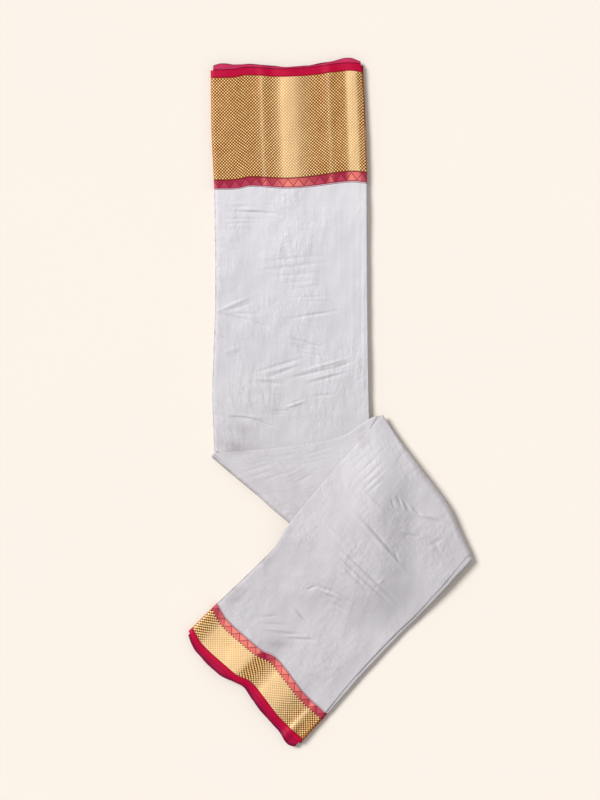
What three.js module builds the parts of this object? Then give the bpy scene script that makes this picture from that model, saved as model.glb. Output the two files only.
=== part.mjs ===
// A silk sari pleated lengthwise into a long flat pack and laid down in a zigzag of three stretches.
// The upper stretch lies on the surface, the middle one turns back over it at the first fold, and the
// lower one turns back over that at the second fold. Millimetres, +Z up, origin under the middle.

import * as THREE from 'three';

// ---- Driving dimensions ----

const PACK = 9; // thickness of the pack, about thirty layers of silk
const WALL = 1.2; // one layer that shows, with the ease it lies with
const SEAM = 0.3; // clear gap between neighbouring pieces
const FIELD_SEAM = 0.6; // between a border and a field, whose corners are further apart
const CORE = PACK - WALL - SEAM; // thickness of the layers that do not show
const FIRST_FOLD_GAP = 0.6; // between the upper stretch and the middle one on it
const SECOND_FOLD_GAP = 1.1; // between the middle stretch and the lower one on it
const TOP_EDGE_INSET = 6; // the top layer stops this far short of the open edge

const BROAD_BORDER = { selvage: 10, gold: 135, ornament: 12.5 };
const NARROW_BORDER = { selvage: 7, gold: 35, ornament: 11.5 };
const UNDER_SELVAGE_TUCK = 9; // how far the second layer's selvage reaches back under the first

const SETTLE = { margin: 8, overOne: 56, overTwo: 76 }; // how cloth falls past the edge of what it lies on
const FOLD_STEPS = 8; // steps that a turned fold is drawn in

// ---- Plan of the pack ----
// Each rib crosses the pack from its closed edge (a) to its open edge (b). Station is the distance
// along the closed edge: from the sari's end in the upper and lower stretches, from the first fold in
// the middle one.

const FIRST_FOLD_LINE = { ax: -154.2, ay: -69, bx: 52.4, by: -226 };
const SECOND_FOLD_LINE = { ax: 65.6, ay: -18.9, bx: 181, by: -212.5 };

const UPPER_RIBS = [
  { station: 0, ax: -156.8, ay: 438.9, bx: 44.9, by: 446.3 },
  { station: 80, ax: -155.8, ay: 358.9, bx: 48.2, by: 366.3 },
  { station: 160, ax: -152.2, ay: 278.9, bx: 50.2, by: 286.3 },
  { station: 302, ax: -150.9, ay: 136.9, bx: 51.7, by: 77.4 },
  { station: 420, ax: -154.6, ay: 18.9, bx: 54.8, by: -96 },
  { station: 508, ...FIRST_FOLD_LINE },
];

const MIDDLE_RIBS = [
  { station: 0, ...FIRST_FOLD_LINE },
  { station: 102, ax: -53.2, ay: -57, bx: 108, by: -219 },
  { station: 170, ax: 14.1, ay: -45, bx: 146, by: -214 },
  { station: 226, ...SECOND_FOLD_LINE },
];

const LOWER_RIBS = [
  { station: 0, ax: -187.6, ay: -303.4, bx: -38, by: -451 },
  { station: 60, ax: -144.5, ay: -261.3, bx: 2.1, by: -406.3 },
  { station: 119, ax: -101.4, ay: -220.2, bx: 39.4, by: -364.4 },
  { station: 163, ax: -71.1, ay: -188.8, bx: 72.5, by: -328.4 },
  { station: 192, ax: -56.3, ay: -163.1, bx: 88.8, by: -311.1 },
  { station: 258, ax: -14.4, ay: -112.1, bx: 121.9, by: -278.8 },
  { station: 381, ...SECOND_FOLD_LINE },
];

const UPPER_LENGTH = UPPER_RIBS.at(-1).station;
const MIDDLE_LENGTH = MIDDLE_RIBS.at(-1).station;
const LOWER_LENGTH = LOWER_RIBS.at(-1).station;

// How far an end or a fold stands out from its straight line, across the pack from a (0) to b (1).
const UPPER_END = [
  { across: 0, out: 0 },
  { across: 0.15, out: -0.6 },
  { across: 0.24, out: 2 },
  { across: 0.46, out: -2.1 },
  { across: 0.62, out: -1.7 },
  { across: 0.89, out: 2.6 },
  { across: 1, out: 0 },
];
const LOWER_END = [
  { across: 0, out: -2 },
  { across: 0.12, out: 4 },
  { across: 0.34, out: 1.8 },
  { across: 0.42, out: 0 },
  { across: 0.5, out: -5.7 },
  { across: 0.62, out: -4 },
  { across: 0.8, out: 1.3 },
  { across: 1, out: 0 },
];
const FIRST_FOLD = [
  { across: 0, out: -3 },
  { across: 0.12, out: -1.8 },
  { across: 0.3, out: -1.4 },
  { across: 0.5, out: 1 },
  { across: 0.75, out: 0.5 },
  { across: 1, out: 0 },
];
const SECOND_FOLD = [
  { across: 0, out: 0 },
  { across: 0.35, out: -1.5 },
  { across: 0.66, out: 8 },
  { across: 0.82, out: 4 },
  { across: 1, out: 0 },
];

// Stretch of the pack over which the shape of an end dies out, and of a fold grows.
const END_FADE = { upper: { from: 160, over: 120 }, lower: { from: 55, over: 80 } };
const FOLD_FADE = { upper: 90, middle: 90, lower: 110 };

// How far the second layer's selvage shows beyond the top layer's end.
const UPPER_UNDER_END = [
  { across: 0, out: 4 },
  { across: 0.07, out: 8 },
  { across: 0.26, out: 3.8 },
  { across: 0.76, out: 3 },
  { across: 0.9, out: 6.6 },
  { across: 1, out: 3 },
];
const LOWER_UNDER_END = [
  { across: 0, out: 1 },
  { across: 0.1, out: 3.5 },
  { across: 0.3, out: 5.5 },
  { across: 0.45, out: 3 },
  { across: 0.6, out: 4 },
  { across: 0.93, out: 11 },
  { across: 1, out: 4 },
];

// Ripples that the top layer lies in near each end: where each crest is, its half width across the
// pack, its height, and how far along the pack it runs before it dies out.
const UPPER_RIPPLES = [
  { across: 0.12, halfWidth: 0.16, height: 1.2, run: 220 },
  { across: 0.345, halfWidth: 0.06, height: 1.4, run: 170 },
  { across: 0.51, halfWidth: 0.12, height: 2.2, run: 240 },
  { across: 0.775, halfWidth: 0.06, height: 1.4, run: 170 },
  { across: 0.93, halfWidth: 0.08, height: 1.6, run: 200 },
];
const LOWER_RIPPLES = [
  { across: 0.36, halfWidth: 0.22, height: 4.2, run: 130 },
  { across: 0.68, halfWidth: 0.2, height: 3.8, run: 120 },
  { across: 0.895, halfWidth: 0.045, height: 2.4, run: 70 },
];

// Long soft ridges across the lower stretch, by the place of each crest's two ends.
const LOWER_RIDGES = [
  { x0: 16, y0: -200, x1: 79, y1: -258, halfWidth: 16, height: 1.8 },
  { x0: 33, y0: -148, x1: 100, y1: -222, halfWidth: 20, height: 1.6 },
  { x0: -14, y0: -251, x1: 29, y1: -264, halfWidth: 14, height: 1.4 },
];
const UPPER_RIDGES = [
  { x0: -53, y0: 87, x1: -15, y1: 75, halfWidth: 12, height: 1.2 },
  { x0: -94, y0: 26, x1: -39, y1: 56, halfWidth: 13, height: 1.3 },
  { x0: -38, y0: 33, x1: 27, y1: 52, halfWidth: 13, height: 1.2 },
];

const RIDGE_TAPER = 0.85; // a ridge dies out at this share of its length each way from its middle

// Edges of the hidden layers, in three leaves: rise is the share of their thickness, counted from the
// side that lies away from the layer that shows; a and b are how far each edge is set in.
const LEAF_EDGES = [
  { rise: 0, a: 3.2, b: 3.2, end: -2.4 },
  { rise: 0.05, a: 1.2, b: 1, end: -0.8 },
  { rise: 0.16, a: 0.2, b: 0, end: 0 },
  { rise: 0.27, a: 1, b: 0.9, end: -0.7 },
  { rise: 0.33, a: 2.6, b: 2.6, end: -2.4 },
  { rise: 0.4, a: 1.1, b: 3.2, end: -1.9 },
  { rise: 0.5, a: 0.5, b: 2.4, end: -1.2 },
  { rise: 0.6, a: 1.3, b: 3.2, end: -1.9 },
  { rise: 0.67, a: 3.2, b: 5, end: -3.4 },
  { rise: 0.73, a: 2.6, b: 5.6, end: -2.8 },
  { rise: 0.84, a: 1.9, b: 4.8, end: -2.1 },
  { rise: 0.95, a: 3.2, b: 5.8, end: -2.9 },
  { rise: 1, a: 6, b: 8, end: -5 },
];

// Section of a layer that shows: it turns down round the closed edge and lies free at the open one.
const CLOSED_EDGE = [
  { outer: 0, outerDrop: 3.2, inner: 1.2, innerDrop: 3.2 },
  { outer: 0.3, outerDrop: 2, inner: 1.5, innerDrop: 2.3 },
  { outer: 1.8, outerDrop: 0.7, inner: 2.4, innerDrop: 1.6 },
  { outer: 5, outerDrop: 0, inner: 5, innerDrop: WALL },
];
const OPEN_EDGE = [
  { outer: TOP_EDGE_INSET + 2.2, outerDrop: 0, inner: TOP_EDGE_INSET + 2.2, innerDrop: WALL },
  { outer: TOP_EDGE_INSET, outerDrop: 0.4, inner: TOP_EDGE_INSET + 0.2, innerDrop: WALL },
];

// Section of the second layer's selvage, tucked in under the first.
const TUCKED_EDGE = [
  { outer: 3.4, outerDrop: 0.3, inner: 3.6, innerDrop: WALL },
  { outer: 5.4, outerDrop: 0, inner: 5.4, innerDrop: WALL },
];

// Where the fields stop under what lies on them. The upper one's station at each edge, and how far it
// bows between them; the middle one's share of its stretch at the closed edge, how that falls across
// the pack, and the share of the way across where nothing of it is left.
const UPPER_FIELD_STOP = { closed: 504, open: 386, bow: 50 };
const MIDDLE_FIELD_STOP = { closed: 0.97, fall: 1.42, across: 0.61 };
const RIDGE_ROOM = { from: 0.7, over: 0.2 }; // ridges die out over this share of the upper field

// Stations of the hidden layers: in the upper stretch, and under the lower end's gold border.
const UPPER_STATIONS = [45, 90, 160, 230, 302, 370, 420, 460, 490, 508];
const NARROW_STATION = 32;

const EDGE_SHARE = 0.07; // the first and last corners in from the edges, as shares of the way across

const COLOURS = {
  silk: 0xdfdcde,
  zari: 0xd9a860,
  crimson: 0xc40c41,
  ornament: 0xb84a58,
};

// ---- Working the shape out ----

const smooth = (x) => THREE.MathUtils.smoothstep(x, 0, 1);
const bell = (x) => (Math.abs(x) < 1 ? Math.cos((x * Math.PI) / 2) ** 2 : 0);

// A smooth curve through the rows of a table, for one column against another.
function follow(rows, at, key, value) {
  const last = rows.length - 1;
  let k = rows.findIndex((row, index) => index < last && at <= rows[index + 1][key]);
  if (k < 0) k = last - 1;
  const slope = (index) => {
    const before = rows[Math.max(index - 1, 0)];
    const after = rows[Math.min(index + 1, last)];
    return (after[value] - before[value]) / (after[key] - before[key]);
  };
  const span = rows[k + 1][key] - rows[k][key];
  const s = (at - rows[k][key]) / span;
  const rise = s * s * (3 - 2 * s);
  return (
    rows[k][value] * (1 - rise) +
    rows[k + 1][value] * rise +
    slope(k) * span * s * (1 - s) ** 2 -
    slope(k + 1) * span * s * s * (1 - s)
  );
}

// The closed and the open edge of the pack at a station, in plan.
function ribAt(ribs, station) {
  const read = (column) => follow(ribs, station, 'station', column);
  return {
    a: new THREE.Vector2(read('ax'), read('ay')),
    b: new THREE.Vector2(read('bx'), read('by')),
  };
}

// The straight line of a fold or an end, with the way out of the pack.
function edgeLine(rib, insidePoint) {
  const a = new THREE.Vector2(rib.ax, rib.ay);
  const b = new THREE.Vector2(rib.bx, rib.by);
  const along = b.clone().sub(a).normalize();
  const outward = new THREE.Vector2(along.y, -along.x);
  if (outward.dot(insidePoint.clone().sub(a)) > 0) outward.negate();
  return { a, b, outward };
}

// A place well inside each stretch, to tell the way out by.
const upperMiddle = new THREE.Vector2(-50, 200);
const middleMiddle = new THREE.Vector2(40, -130);
const lowerMiddle = new THREE.Vector2(-20, -250);
const upperEnd = edgeLine(UPPER_RIBS[0], upperMiddle);
const lowerEnd = edgeLine(LOWER_RIBS[0], lowerMiddle);
const firstFold = edgeLine(FIRST_FOLD_LINE, upperMiddle);
const secondFold = edgeLine(SECOND_FOLD_LINE, lowerMiddle);
const FIRST_RADIUS = PACK + FIRST_FOLD_GAP / 2;
const SECOND_RADIUS = PACK + SECOND_FOLD_GAP / 2;

// How far a place in plan lies outside a shape given by its straight sides.
function outside(sides, place) {
  return Math.max(...sides.map((side) => side.outward.dot(place.clone().sub(side.a)) - side.reach));
}

const endOf = (rib, side) => ({ x: rib[`${side}x`], y: rib[`${side}y`] });
function sideLine(from, to, side, insidePoint) {
  const [start, stop] = [endOf(from, side), endOf(to, side)];
  return { ...edgeLine({ ax: start.x, ay: start.y, bx: stop.x, by: stop.y }, insidePoint), reach: 0 };
}

const upperFootprint = [
  sideLine(UPPER_RIBS[0], FIRST_FOLD_LINE, 'a', upperMiddle),
  sideLine(UPPER_RIBS[0], FIRST_FOLD_LINE, 'b', upperMiddle),
  { ...firstFold, reach: FIRST_RADIUS },
];
const middleFootprint = [
  sideLine(FIRST_FOLD_LINE, SECOND_FOLD_LINE, 'b', middleMiddle),
  { ...firstFold, reach: FIRST_RADIUS },
  { ...secondFold, reach: SECOND_RADIUS },
];

// Height of the underside of the middle and the lower stretch over the surface.
function middleBase(place) {
  const past = outside(upperFootprint, place) - SETTLE.margin;
  return (PACK + FIRST_FOLD_GAP) * (1 - smooth(past / SETTLE.overOne));
}

function lowerBase(place) {
  const past = outside(middleFootprint, place) - SETTLE.margin;
  return (middleBase(place) + PACK + SECOND_FOLD_GAP) * (1 - smooth(past / SETTLE.overTwo));
}

function rippleHeight(ripples, station, across) {
  return ripples.reduce((sum, ripple) => {
    const fade = 1 - smooth(station / ripple.run);
    return sum + ripple.height * fade * bell((across - ripple.across) / ripple.halfWidth);
  }, 0);
}

function ridgeHeight(ridges, place) {
  return ridges.reduce((sum, ridge) => {
    const start = new THREE.Vector2(ridge.x0, ridge.y0);
    const run = new THREE.Vector2(ridge.x1, ridge.y1).sub(start);
    const along = place.clone().sub(start).dot(run) / run.lengthSq();
    const aside = place.clone().sub(start).cross(run) / run.length();
    return sum + ridge.height * bell(aside / ridge.halfWidth) * bell((along - 0.5) / RIDGE_TAPER);
  }, 0);
}

// Each stretch turns a station, a share of the way across and a depth into a place. Depth is counted
// through the pack, from the side that lies on the surface in the upper stretch.
const inPlan = (rib, across) => rib.a.clone().lerp(rib.b, across);
const endFade = (fade, station) => 1 - smooth((station - fade.from) / fade.over);
const foldFade = (over, away) => 1 - smooth(away / over);

function upperPlace(station, across, depth) {
  const place = inPlan(ribAt(UPPER_RIBS, station), across);
  const end = follow(UPPER_END, across, 'across', 'out') * endFade(END_FADE.upper, station);
  const left = UPPER_LENGTH - station;
  const fold = follow(FIRST_FOLD, across, 'across', 'out') * foldFade(FOLD_FADE.upper, left);
  place.addScaledVector(upperEnd.outward, end).addScaledVector(firstFold.outward, fold);
  return new THREE.Vector3(place.x, place.y, depth);
}

function middlePlace(station, across, depth) {
  const place = inPlan(ribAt(MIDDLE_RIBS, station), across);
  const first = follow(FIRST_FOLD, across, 'across', 'out') * foldFade(FOLD_FADE.middle, station);
  const left = MIDDLE_LENGTH - station;
  const second = follow(SECOND_FOLD, across, 'across', 'out') * foldFade(FOLD_FADE.middle, left);
  place.addScaledVector(firstFold.outward, first).addScaledVector(secondFold.outward, second);
  return new THREE.Vector3(place.x, place.y, middleBase(place) + PACK - depth);
}

function lowerPlace(station, across, depth) {
  const place = inPlan(ribAt(LOWER_RIBS, station), across);
  const end = follow(LOWER_END, across, 'across', 'out') * endFade(END_FADE.lower, station);
  const left = LOWER_LENGTH - station;
  const fold = follow(SECOND_FOLD, across, 'across', 'out') * foldFade(FOLD_FADE.lower, left);
  place.addScaledVector(lowerEnd.outward, end).addScaledVector(secondFold.outward, fold);
  return new THREE.Vector3(place.x, place.y, lowerBase(place) + depth);
}

function firstFoldPlace(angle, across, depth) {
  const start = upperPlace(UPPER_LENGTH, across, PACK);
  const radius = PACK - depth + FIRST_FOLD_GAP / 2;
  const out = radius * Math.sin(angle);
  return new THREE.Vector3(
    start.x + firstFold.outward.x * out,
    start.y + firstFold.outward.y * out,
    start.z + FIRST_FOLD_GAP / 2 - radius * Math.cos(angle),
  );
}

function secondFoldPlace(angle, across, depth) {
  const start = middlePlace(MIDDLE_LENGTH, across, 0);
  const radius = depth + SECOND_FOLD_GAP / 2;
  const out = radius * Math.sin(angle);
  return new THREE.Vector3(
    start.x + secondFold.outward.x * out,
    start.y + secondFold.outward.y * out,
    start.z + SECOND_FOLD_GAP / 2 - radius * Math.cos(angle),
  );
}

const spread = (from, to, steps) =>
  Array.from({ length: steps + 1 }, (_, k) => THREE.MathUtils.lerp(from, to, k / steps));

// ---- Solids ----

// The closed skin of a block of rows, layers and columns, whose corners place() gives.
function blockGeometry(rows, layers, columns, place) {
  const corners = new Map();
  const positions = [];
  const faces = [];
  const corner = (k, i, j) => {
    const key = `${k}/${i}/${j}`;
    if (!corners.has(key)) {
      corners.set(key, positions.length / 3);
      positions.push(...place(k, i, j).toArray());
    }
    return corners.get(key);
  };
  const side = (uCount, vCount, at, flip) => {
    for (let u = 0; u < uCount - 1; u += 1) {
      for (let v = 0; v < vCount - 1; v += 1) {
        const [p, q, r, s] = [at(u, v), at(u + 1, v), at(u + 1, v + 1), at(u, v + 1)];
        faces.push(...(flip ? [p, r, q, p, s, r] : [p, q, r, p, r, s]));
      }
    }
  };
  side(rows, columns, (u, v) => corner(u, 0, v), false);
  side(rows, columns, (u, v) => corner(u, layers - 1, v), true);
  side(rows, layers, (u, v) => corner(u, v, 0), true);
  side(rows, layers, (u, v) => corner(u, v, columns - 1), false);
  side(layers, columns, (u, v) => corner(0, u, v), true);
  side(layers, columns, (u, v) => corner(rows - 1, u, v), false);
  const point = (index) => new THREE.Vector3().fromArray(positions, index * 3);
  let volume = 0;
  for (let f = 0; f < faces.length; f += 3) {
    volume += point(faces[f]).dot(point(faces[f + 1]).cross(point(faces[f + 2])));
  }
  if (volume < 0) faces.reverse();
  const geometry = new THREE.BufferGeometry();
  geometry.setAttribute('position', new THREE.Float32BufferAttribute(positions, 3));
  geometry.setIndex(faces);
  geometry.computeVertexNormals();
  return geometry;
}

function clothMaterial(color, roughness, metalness = 0) {
  return new THREE.MeshStandardMaterial({ color, roughness, metalness });
}

const silk = clothMaterial(COLOURS.silk, 0.6);
const zari = clothMaterial(COLOURS.zari, 0.35, 0.8);
const crimson = clothMaterial(COLOURS.crimson, 0.5);
const ornamentWeave = clothMaterial(COLOURS.ornament, 0.5, 0.2);

function piece(name, geometry, material) {
  const mesh = new THREE.Mesh(geometry, material);
  mesh.name = name;
  return mesh;
}

// Shares of the way across where the fields and the hidden layers under them both have corners, and
// the closer ones that draw the ripples of the borders.
const FIELD_SHARES = spread(EDGE_SHARE, 1 - EDGE_SHARE, 14);
const BORDER_SHARES = spread(EDGE_SHARE, 1 - EDGE_SHARE, 28);
const FOLD_TURNS = spread(0, Math.PI, FOLD_STEPS);

// The columns of a layer that shows: its closed edge, the steps in between, and its open edge.
function wallColumns(shares, closedEdge = CLOSED_EDGE, openEdge = OPEN_EDGE) {
  const closed = closedEdge.map((row) => ({ ...row, from: 'a' }));
  const open = openEdge.map((row) => ({ ...row, from: 'b' }));
  return [...closed, ...shares.map((share) => ({ share })), ...open];
}

// One layer that shows. Each row gives place(across, depth) and the ripple that lifts it there;
// face says on which side of the pack it lies, and under how far below the outermost layer.
function wallGeometry(rows, columns, { face = 'top', under = 0 } = {}) {
  return blockGeometry(rows.length, 2, columns.length, (k, i, j) => {
    const row = rows[k];
    const column = columns[j];
    const isOuter = i === 1;
    let across = column.share;
    let drop = isOuter ? 0 : WALL;
    if (column.from) {
      const setIn = (isOuter ? column.outer : column.inner) / row.width;
      across = column.from === 'a' ? setIn : 1 - setIn;
      drop = isOuter ? column.outerDrop : column.innerDrop;
    }
    const lift = row.lift ? row.lift(across) : 0;
    const depth = face === 'top' ? PACK + lift - drop - under : drop + under - lift;
    return row.place(across, depth);
  });
}

function ribWidth(ribs, station) {
  const rib = ribAt(ribs, station);
  return rib.a.distanceTo(rib.b);
}

const upperRow = (station) => ({
  width: ribWidth(UPPER_RIBS, station),
  place: (across, depth) => upperPlace(station, across, depth),
  lift: (across) => rippleHeight(UPPER_RIPPLES, station, across),
});
const lowerRow = (station) => ({
  width: ribWidth(LOWER_RIBS, station),
  place: (across, depth) => lowerPlace(station, across, depth),
  lift: (across) =>
    rippleHeight(LOWER_RIPPLES, station, across) + ridgeHeight(LOWER_RIDGES, lowerPlace(station, across, 0)),
});

// A piece of the top layer between two stations, seams kept clear.
function bandRows(rowAt, from, to, steps) {
  return spread(from + SEAM / 2, to - SEAM / 2, steps).map(rowAt);
}

function borderPieces(prefix, sizes, rowAt, { selvageSteps, goldSteps, ornamentSteps }) {
  const goldStart = sizes.selvage;
  const ornamentStart = goldStart + sizes.gold;
  const ornamentEnd = ornamentStart + sizes.ornament;
  const columns = wallColumns(BORDER_SHARES);
  const band = (from, to, steps) => wallGeometry(bandRows(rowAt, from, to, steps), columns);
  return [
    piece(`${prefix}_selvage`, band(0, goldStart, selvageSteps), crimson),
    piece(`${prefix}_zari_border`, band(goldStart, ornamentStart, goldSteps), zari),
    piece(`${prefix}_ornament_band`, band(ornamentStart, ornamentEnd, ornamentSteps), ornamentWeave),
  ];
}

// The second layer's selvage, a step below the first and reaching out past its end.
function underSelvage(name, rowAt, showing) {
  const rows = [1, 0.5, 0].map((share) => {
    const nominal = rowAt(0);
    return {
      width: nominal.width,
      lift: nominal.lift,
      place: (across, depth) => {
        const out = follow(showing, across, 'across', 'out');
        const station = THREE.MathUtils.lerp(UNDER_SELVAGE_TUCK, -out, share);
        return rowAt(station).place(across, depth);
      },
    };
  });
  const columns = wallColumns(BORDER_SHARES, TUCKED_EDGE);
  return piece(name, wallGeometry(rows, columns, { under: WALL + SEAM }), crimson);
}

// The upper stretch's field stops a little way under the middle stretch.
function upperField() {
  const start = BROAD_BORDER.selvage + BROAD_BORDER.gold + BROAD_BORDER.ornament + FIELD_SEAM;
  const { closed, open, bow } = UPPER_FIELD_STOP;
  const stop = (across) => THREE.MathUtils.lerp(closed, open, across) + bow * across * (1 - across);
  const rows = spread(0, 1, 13).map((share) => {
    const stationAt = (across) => THREE.MathUtils.lerp(start, stop(across), share);
    const room = 1 - smooth((share - RIDGE_ROOM.from) / RIDGE_ROOM.over);
    return {
      width: ribWidth(UPPER_RIBS, stationAt(0.5)),
      place: (across, depth) => upperPlace(stationAt(across), across, depth),
      lift: (across) =>
        room * ridgeHeight(UPPER_RIDGES, upperPlace(stationAt(across), across, 0)) +
        rippleHeight(UPPER_RIPPLES, stationAt(across), across),
    };
  });
  return piece('upper_field', wallGeometry(rows, wallColumns(FIELD_SHARES)), silk);
}

// The middle stretch shows as a triangle: it wraps the first fold and runs in under the lower stretch.
function middleField() {
  const reach = (across) => MIDDLE_LENGTH * (MIDDLE_FIELD_STOP.closed - MIDDLE_FIELD_STOP.fall * across);
  const shown = FIELD_SHARES.filter((share) => share < MIDDLE_FIELD_STOP.across);
  const columns = wallColumns(shown, CLOSED_EDGE, []);
  const wrap = FOLD_TURNS.slice(1).map((angle) => ({
    width: firstFold.a.distanceTo(firstFold.b),
    place: (across, depth) => firstFoldPlace(angle, across, depth),
  }));
  const flat = spread(0, 1, 9).slice(1).map((share) => ({
    width: firstFold.a.distanceTo(firstFold.b),
    place: (across, depth) => middlePlace(share * reach(across), across, depth),
  }));
  return piece('middle_field', wallGeometry([...wrap, ...flat], columns, { face: 'bottom' }), silk);
}

const LOWER_FIELD_START = NARROW_BORDER.selvage + NARROW_BORDER.gold + NARROW_BORDER.ornament + FIELD_SEAM;
const LOWER_STATIONS = spread(LOWER_LENGTH, LOWER_FIELD_START, 17);

// The lower stretch's field runs from the narrow border up and round the second fold.
function lowerField() {
  const flat = LOWER_STATIONS.map(lowerRow);
  const wrap = FOLD_TURNS.slice(1, -1).map((angle) => ({
    width: secondFold.a.distanceTo(secondFold.b),
    place: (across, depth) => secondFoldPlace(angle, across, depth),
  }));
  return piece('lower_field', wallGeometry([...wrap, ...flat], wallColumns(FIELD_SHARES)), silk);
}

const movedOut = (point, end, by) =>
  point.add(new THREE.Vector3(end.outward.x, end.outward.y, 0).multiplyScalar(by));

// All the layers that do not show: one solid that follows the whole zigzag, its edges in leaves.
function hiddenLayers() {
  const columnCount = FIELD_SHARES.length + 2;
  const low = { from: 0, to: CORE };
  const high = { from: PACK - CORE, to: PACK };
  const underEnd = { from: 0, to: CORE - WALL - SEAM };
  const station = (place, width, span, shown) => ({ place, width, span, shown });
  const upper = (at, span = low) =>
    station((across, depth) => upperPlace(at, across, depth), ribWidth(UPPER_RIBS, at), span, 1);
  const middle = (at) =>
    station((across, depth) => middlePlace(at, across, depth), ribWidth(MIDDLE_RIBS, at), high, 0);
  const lower = (at, span = low) =>
    station((across, depth) => lowerPlace(at, across, depth), ribWidth(LOWER_RIBS, at), span, 1);
  const turns = FOLD_TURNS.slice(1, -1);
  const firstWidth = ribWidth(UPPER_RIBS, UPPER_LENGTH);
  const secondWidth = ribWidth(LOWER_RIBS, LOWER_LENGTH);
  const firstTurn = turns.map((angle) =>
    station((across, depth) => firstFoldPlace(angle, across, depth), firstWidth, high, 0),
  );
  const secondTurn = turns.map((angle) =>
    station((across, depth) => secondFoldPlace(angle, across, depth), secondWidth, low, 1),
  );
  const tucked = UNDER_SELVAGE_TUCK + 1;
  const stations = [
    upper(0, underEnd),
    upper(tucked, underEnd),
    upper(tucked + 2),
    ...UPPER_STATIONS.map((at) => upper(at)),
    ...firstTurn,
    ...spread(0, MIDDLE_LENGTH, 11).map(middle),
    ...secondTurn,
    ...LOWER_STATIONS.map((at) => lower(at)),
    lower(NARROW_STATION),
    lower(tucked + 2),
    lower(tucked, underEnd),
    lower(0, underEnd),
  ];
  const layerCount = LEAF_EDGES.length;
  const geometry = blockGeometry(stations.length, layerCount, columnCount, (k, i, j) => {
    const { place, width, span, shown } = stations[k];
    const edge = LEAF_EDGES[shown ? i : layerCount - 1 - i];
    const rise = shown ? edge.rise : 1 - edge.rise;
    const depth = THREE.MathUtils.lerp(span.from, span.to, rise);
    let across = FIELD_SHARES[j - 1];
    if (j === 0) across = edge.a / width;
    if (j === columnCount - 1) across = 1 - edge.b / width;
    const point = place(across, depth);
    if (k === 0) return movedOut(point, upperEnd, edge.end);
    if (k === stations.length - 1) return movedOut(point, lowerEnd, edge.end);
    return point;
  });
  return piece('hidden_layers', geometry, silk);
}

// ---- The sari ----

const upperStretch = new THREE.Group();
upperStretch.add(
  underSelvage('upper_under_selvage', upperRow, UPPER_UNDER_END),
  ...borderPieces('upper', BROAD_BORDER, upperRow, { selvageSteps: 1, goldSteps: 5, ornamentSteps: 1 }),
  upperField(),
);

const middleStretch = new THREE.Group();
middleStretch.add(middleField());

const lowerStretch = new THREE.Group();
lowerStretch.add(
  underSelvage('lower_under_selvage', lowerRow, LOWER_UNDER_END),
  ...borderPieces('lower', NARROW_BORDER, lowerRow, { selvageSteps: 1, goldSteps: 3, ornamentSteps: 1 }),
  lowerField(),
);

const sari = new THREE.Group();
sari.add(hiddenLayers(), upperStretch, middleStretch, lowerStretch);

export default sari;
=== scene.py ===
"""Looks of a folded silk sari: its cloth in fine detail, its weaves, and plain studio light.

Tables are in millimetres, in the frame of the CAD part, and meshes are made in metres.
"""

import math

import bpy
import numpy as np
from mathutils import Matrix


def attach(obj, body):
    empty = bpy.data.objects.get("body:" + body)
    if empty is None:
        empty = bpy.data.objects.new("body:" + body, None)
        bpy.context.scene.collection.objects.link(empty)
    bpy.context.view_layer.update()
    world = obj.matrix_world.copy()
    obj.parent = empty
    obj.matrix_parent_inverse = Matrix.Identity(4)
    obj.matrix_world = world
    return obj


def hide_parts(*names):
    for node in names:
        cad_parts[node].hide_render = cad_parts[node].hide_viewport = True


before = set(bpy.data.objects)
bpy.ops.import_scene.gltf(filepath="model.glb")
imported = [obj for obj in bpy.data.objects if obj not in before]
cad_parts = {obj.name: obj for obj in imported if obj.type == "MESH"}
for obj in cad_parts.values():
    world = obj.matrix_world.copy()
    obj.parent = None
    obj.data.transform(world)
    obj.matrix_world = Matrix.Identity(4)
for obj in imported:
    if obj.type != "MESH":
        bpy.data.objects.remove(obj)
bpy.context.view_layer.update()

MM = 0.001

# ---- Sizes of the pack, in millimetres ----

PACK = 9.0  # thickness of the pack
WALL = 1.2  # the layer that shows, with its ease
SEAM = 0.3  # between one piece of cloth and the next
CORE = PACK - WALL - SEAM  # the layers that do not show
UNDER_CORE = CORE - WALL - SEAM  # what is left of them where a second selvage shows
FIRST_FOLD_GAP = 0.6
SECOND_FOLD_GAP = 1.1
UPPER_LENGTH = 508.0
MIDDLE_LENGTH = 226.0
LOWER_LENGTH = 381.0
BROAD = {"selvage": 10.0, "gold": 135.0, "ornament": 12.5}
NARROW = {"selvage": 7.0, "gold": 35.0, "ornament": 11.5}
SELVAGE_TUCK = 9.0  # how far a second selvage reaches back under the first
SETTLE = {"margin": 8.0, "over_one": 56.0, "over_two": 76.0}
FIELD_STEP = 1.4  # size of a mesh step on the fields
BORDER_STEP = 1.7  # and on the borders
LAYER_STEP = 6.0  # and along the hidden layers
# Widths and lengths that a piece's mesh steps are counted for.
SPAN_ACROSS = {"border": 200.0, "upper": 195.0, "middle": 150.0, "lower": 200.0}
SPAN_ALONG = {"upper": 350.0, "middle": 220.0}
FOLD_STEPS = 17  # places round the half turn of a fold
FOLD_START = math.pi / 8  # angle at which a field comes out from under a fold
LEAST_SIDE = 10.0  # the least side that a sheet may state

# The gold weave: between lozenges, width it is laid over, and radius and height of its floats.
PITCH = 4.1
ZARI_WIDTH = 206.0
FLOAT_SIZE = {"upper": (1.12, 0.32), "lower": (1.22, 0.07)}
FLOAT_SIDES = 8
FLOAT_TIP = 0.3  # radius of a float's flat top
TRIANGLE_PITCH = 14.0  # between the triangles of an ornament band

# ---- Plan of the pack: station, closed edge x and y, open edge x and y ----

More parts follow.
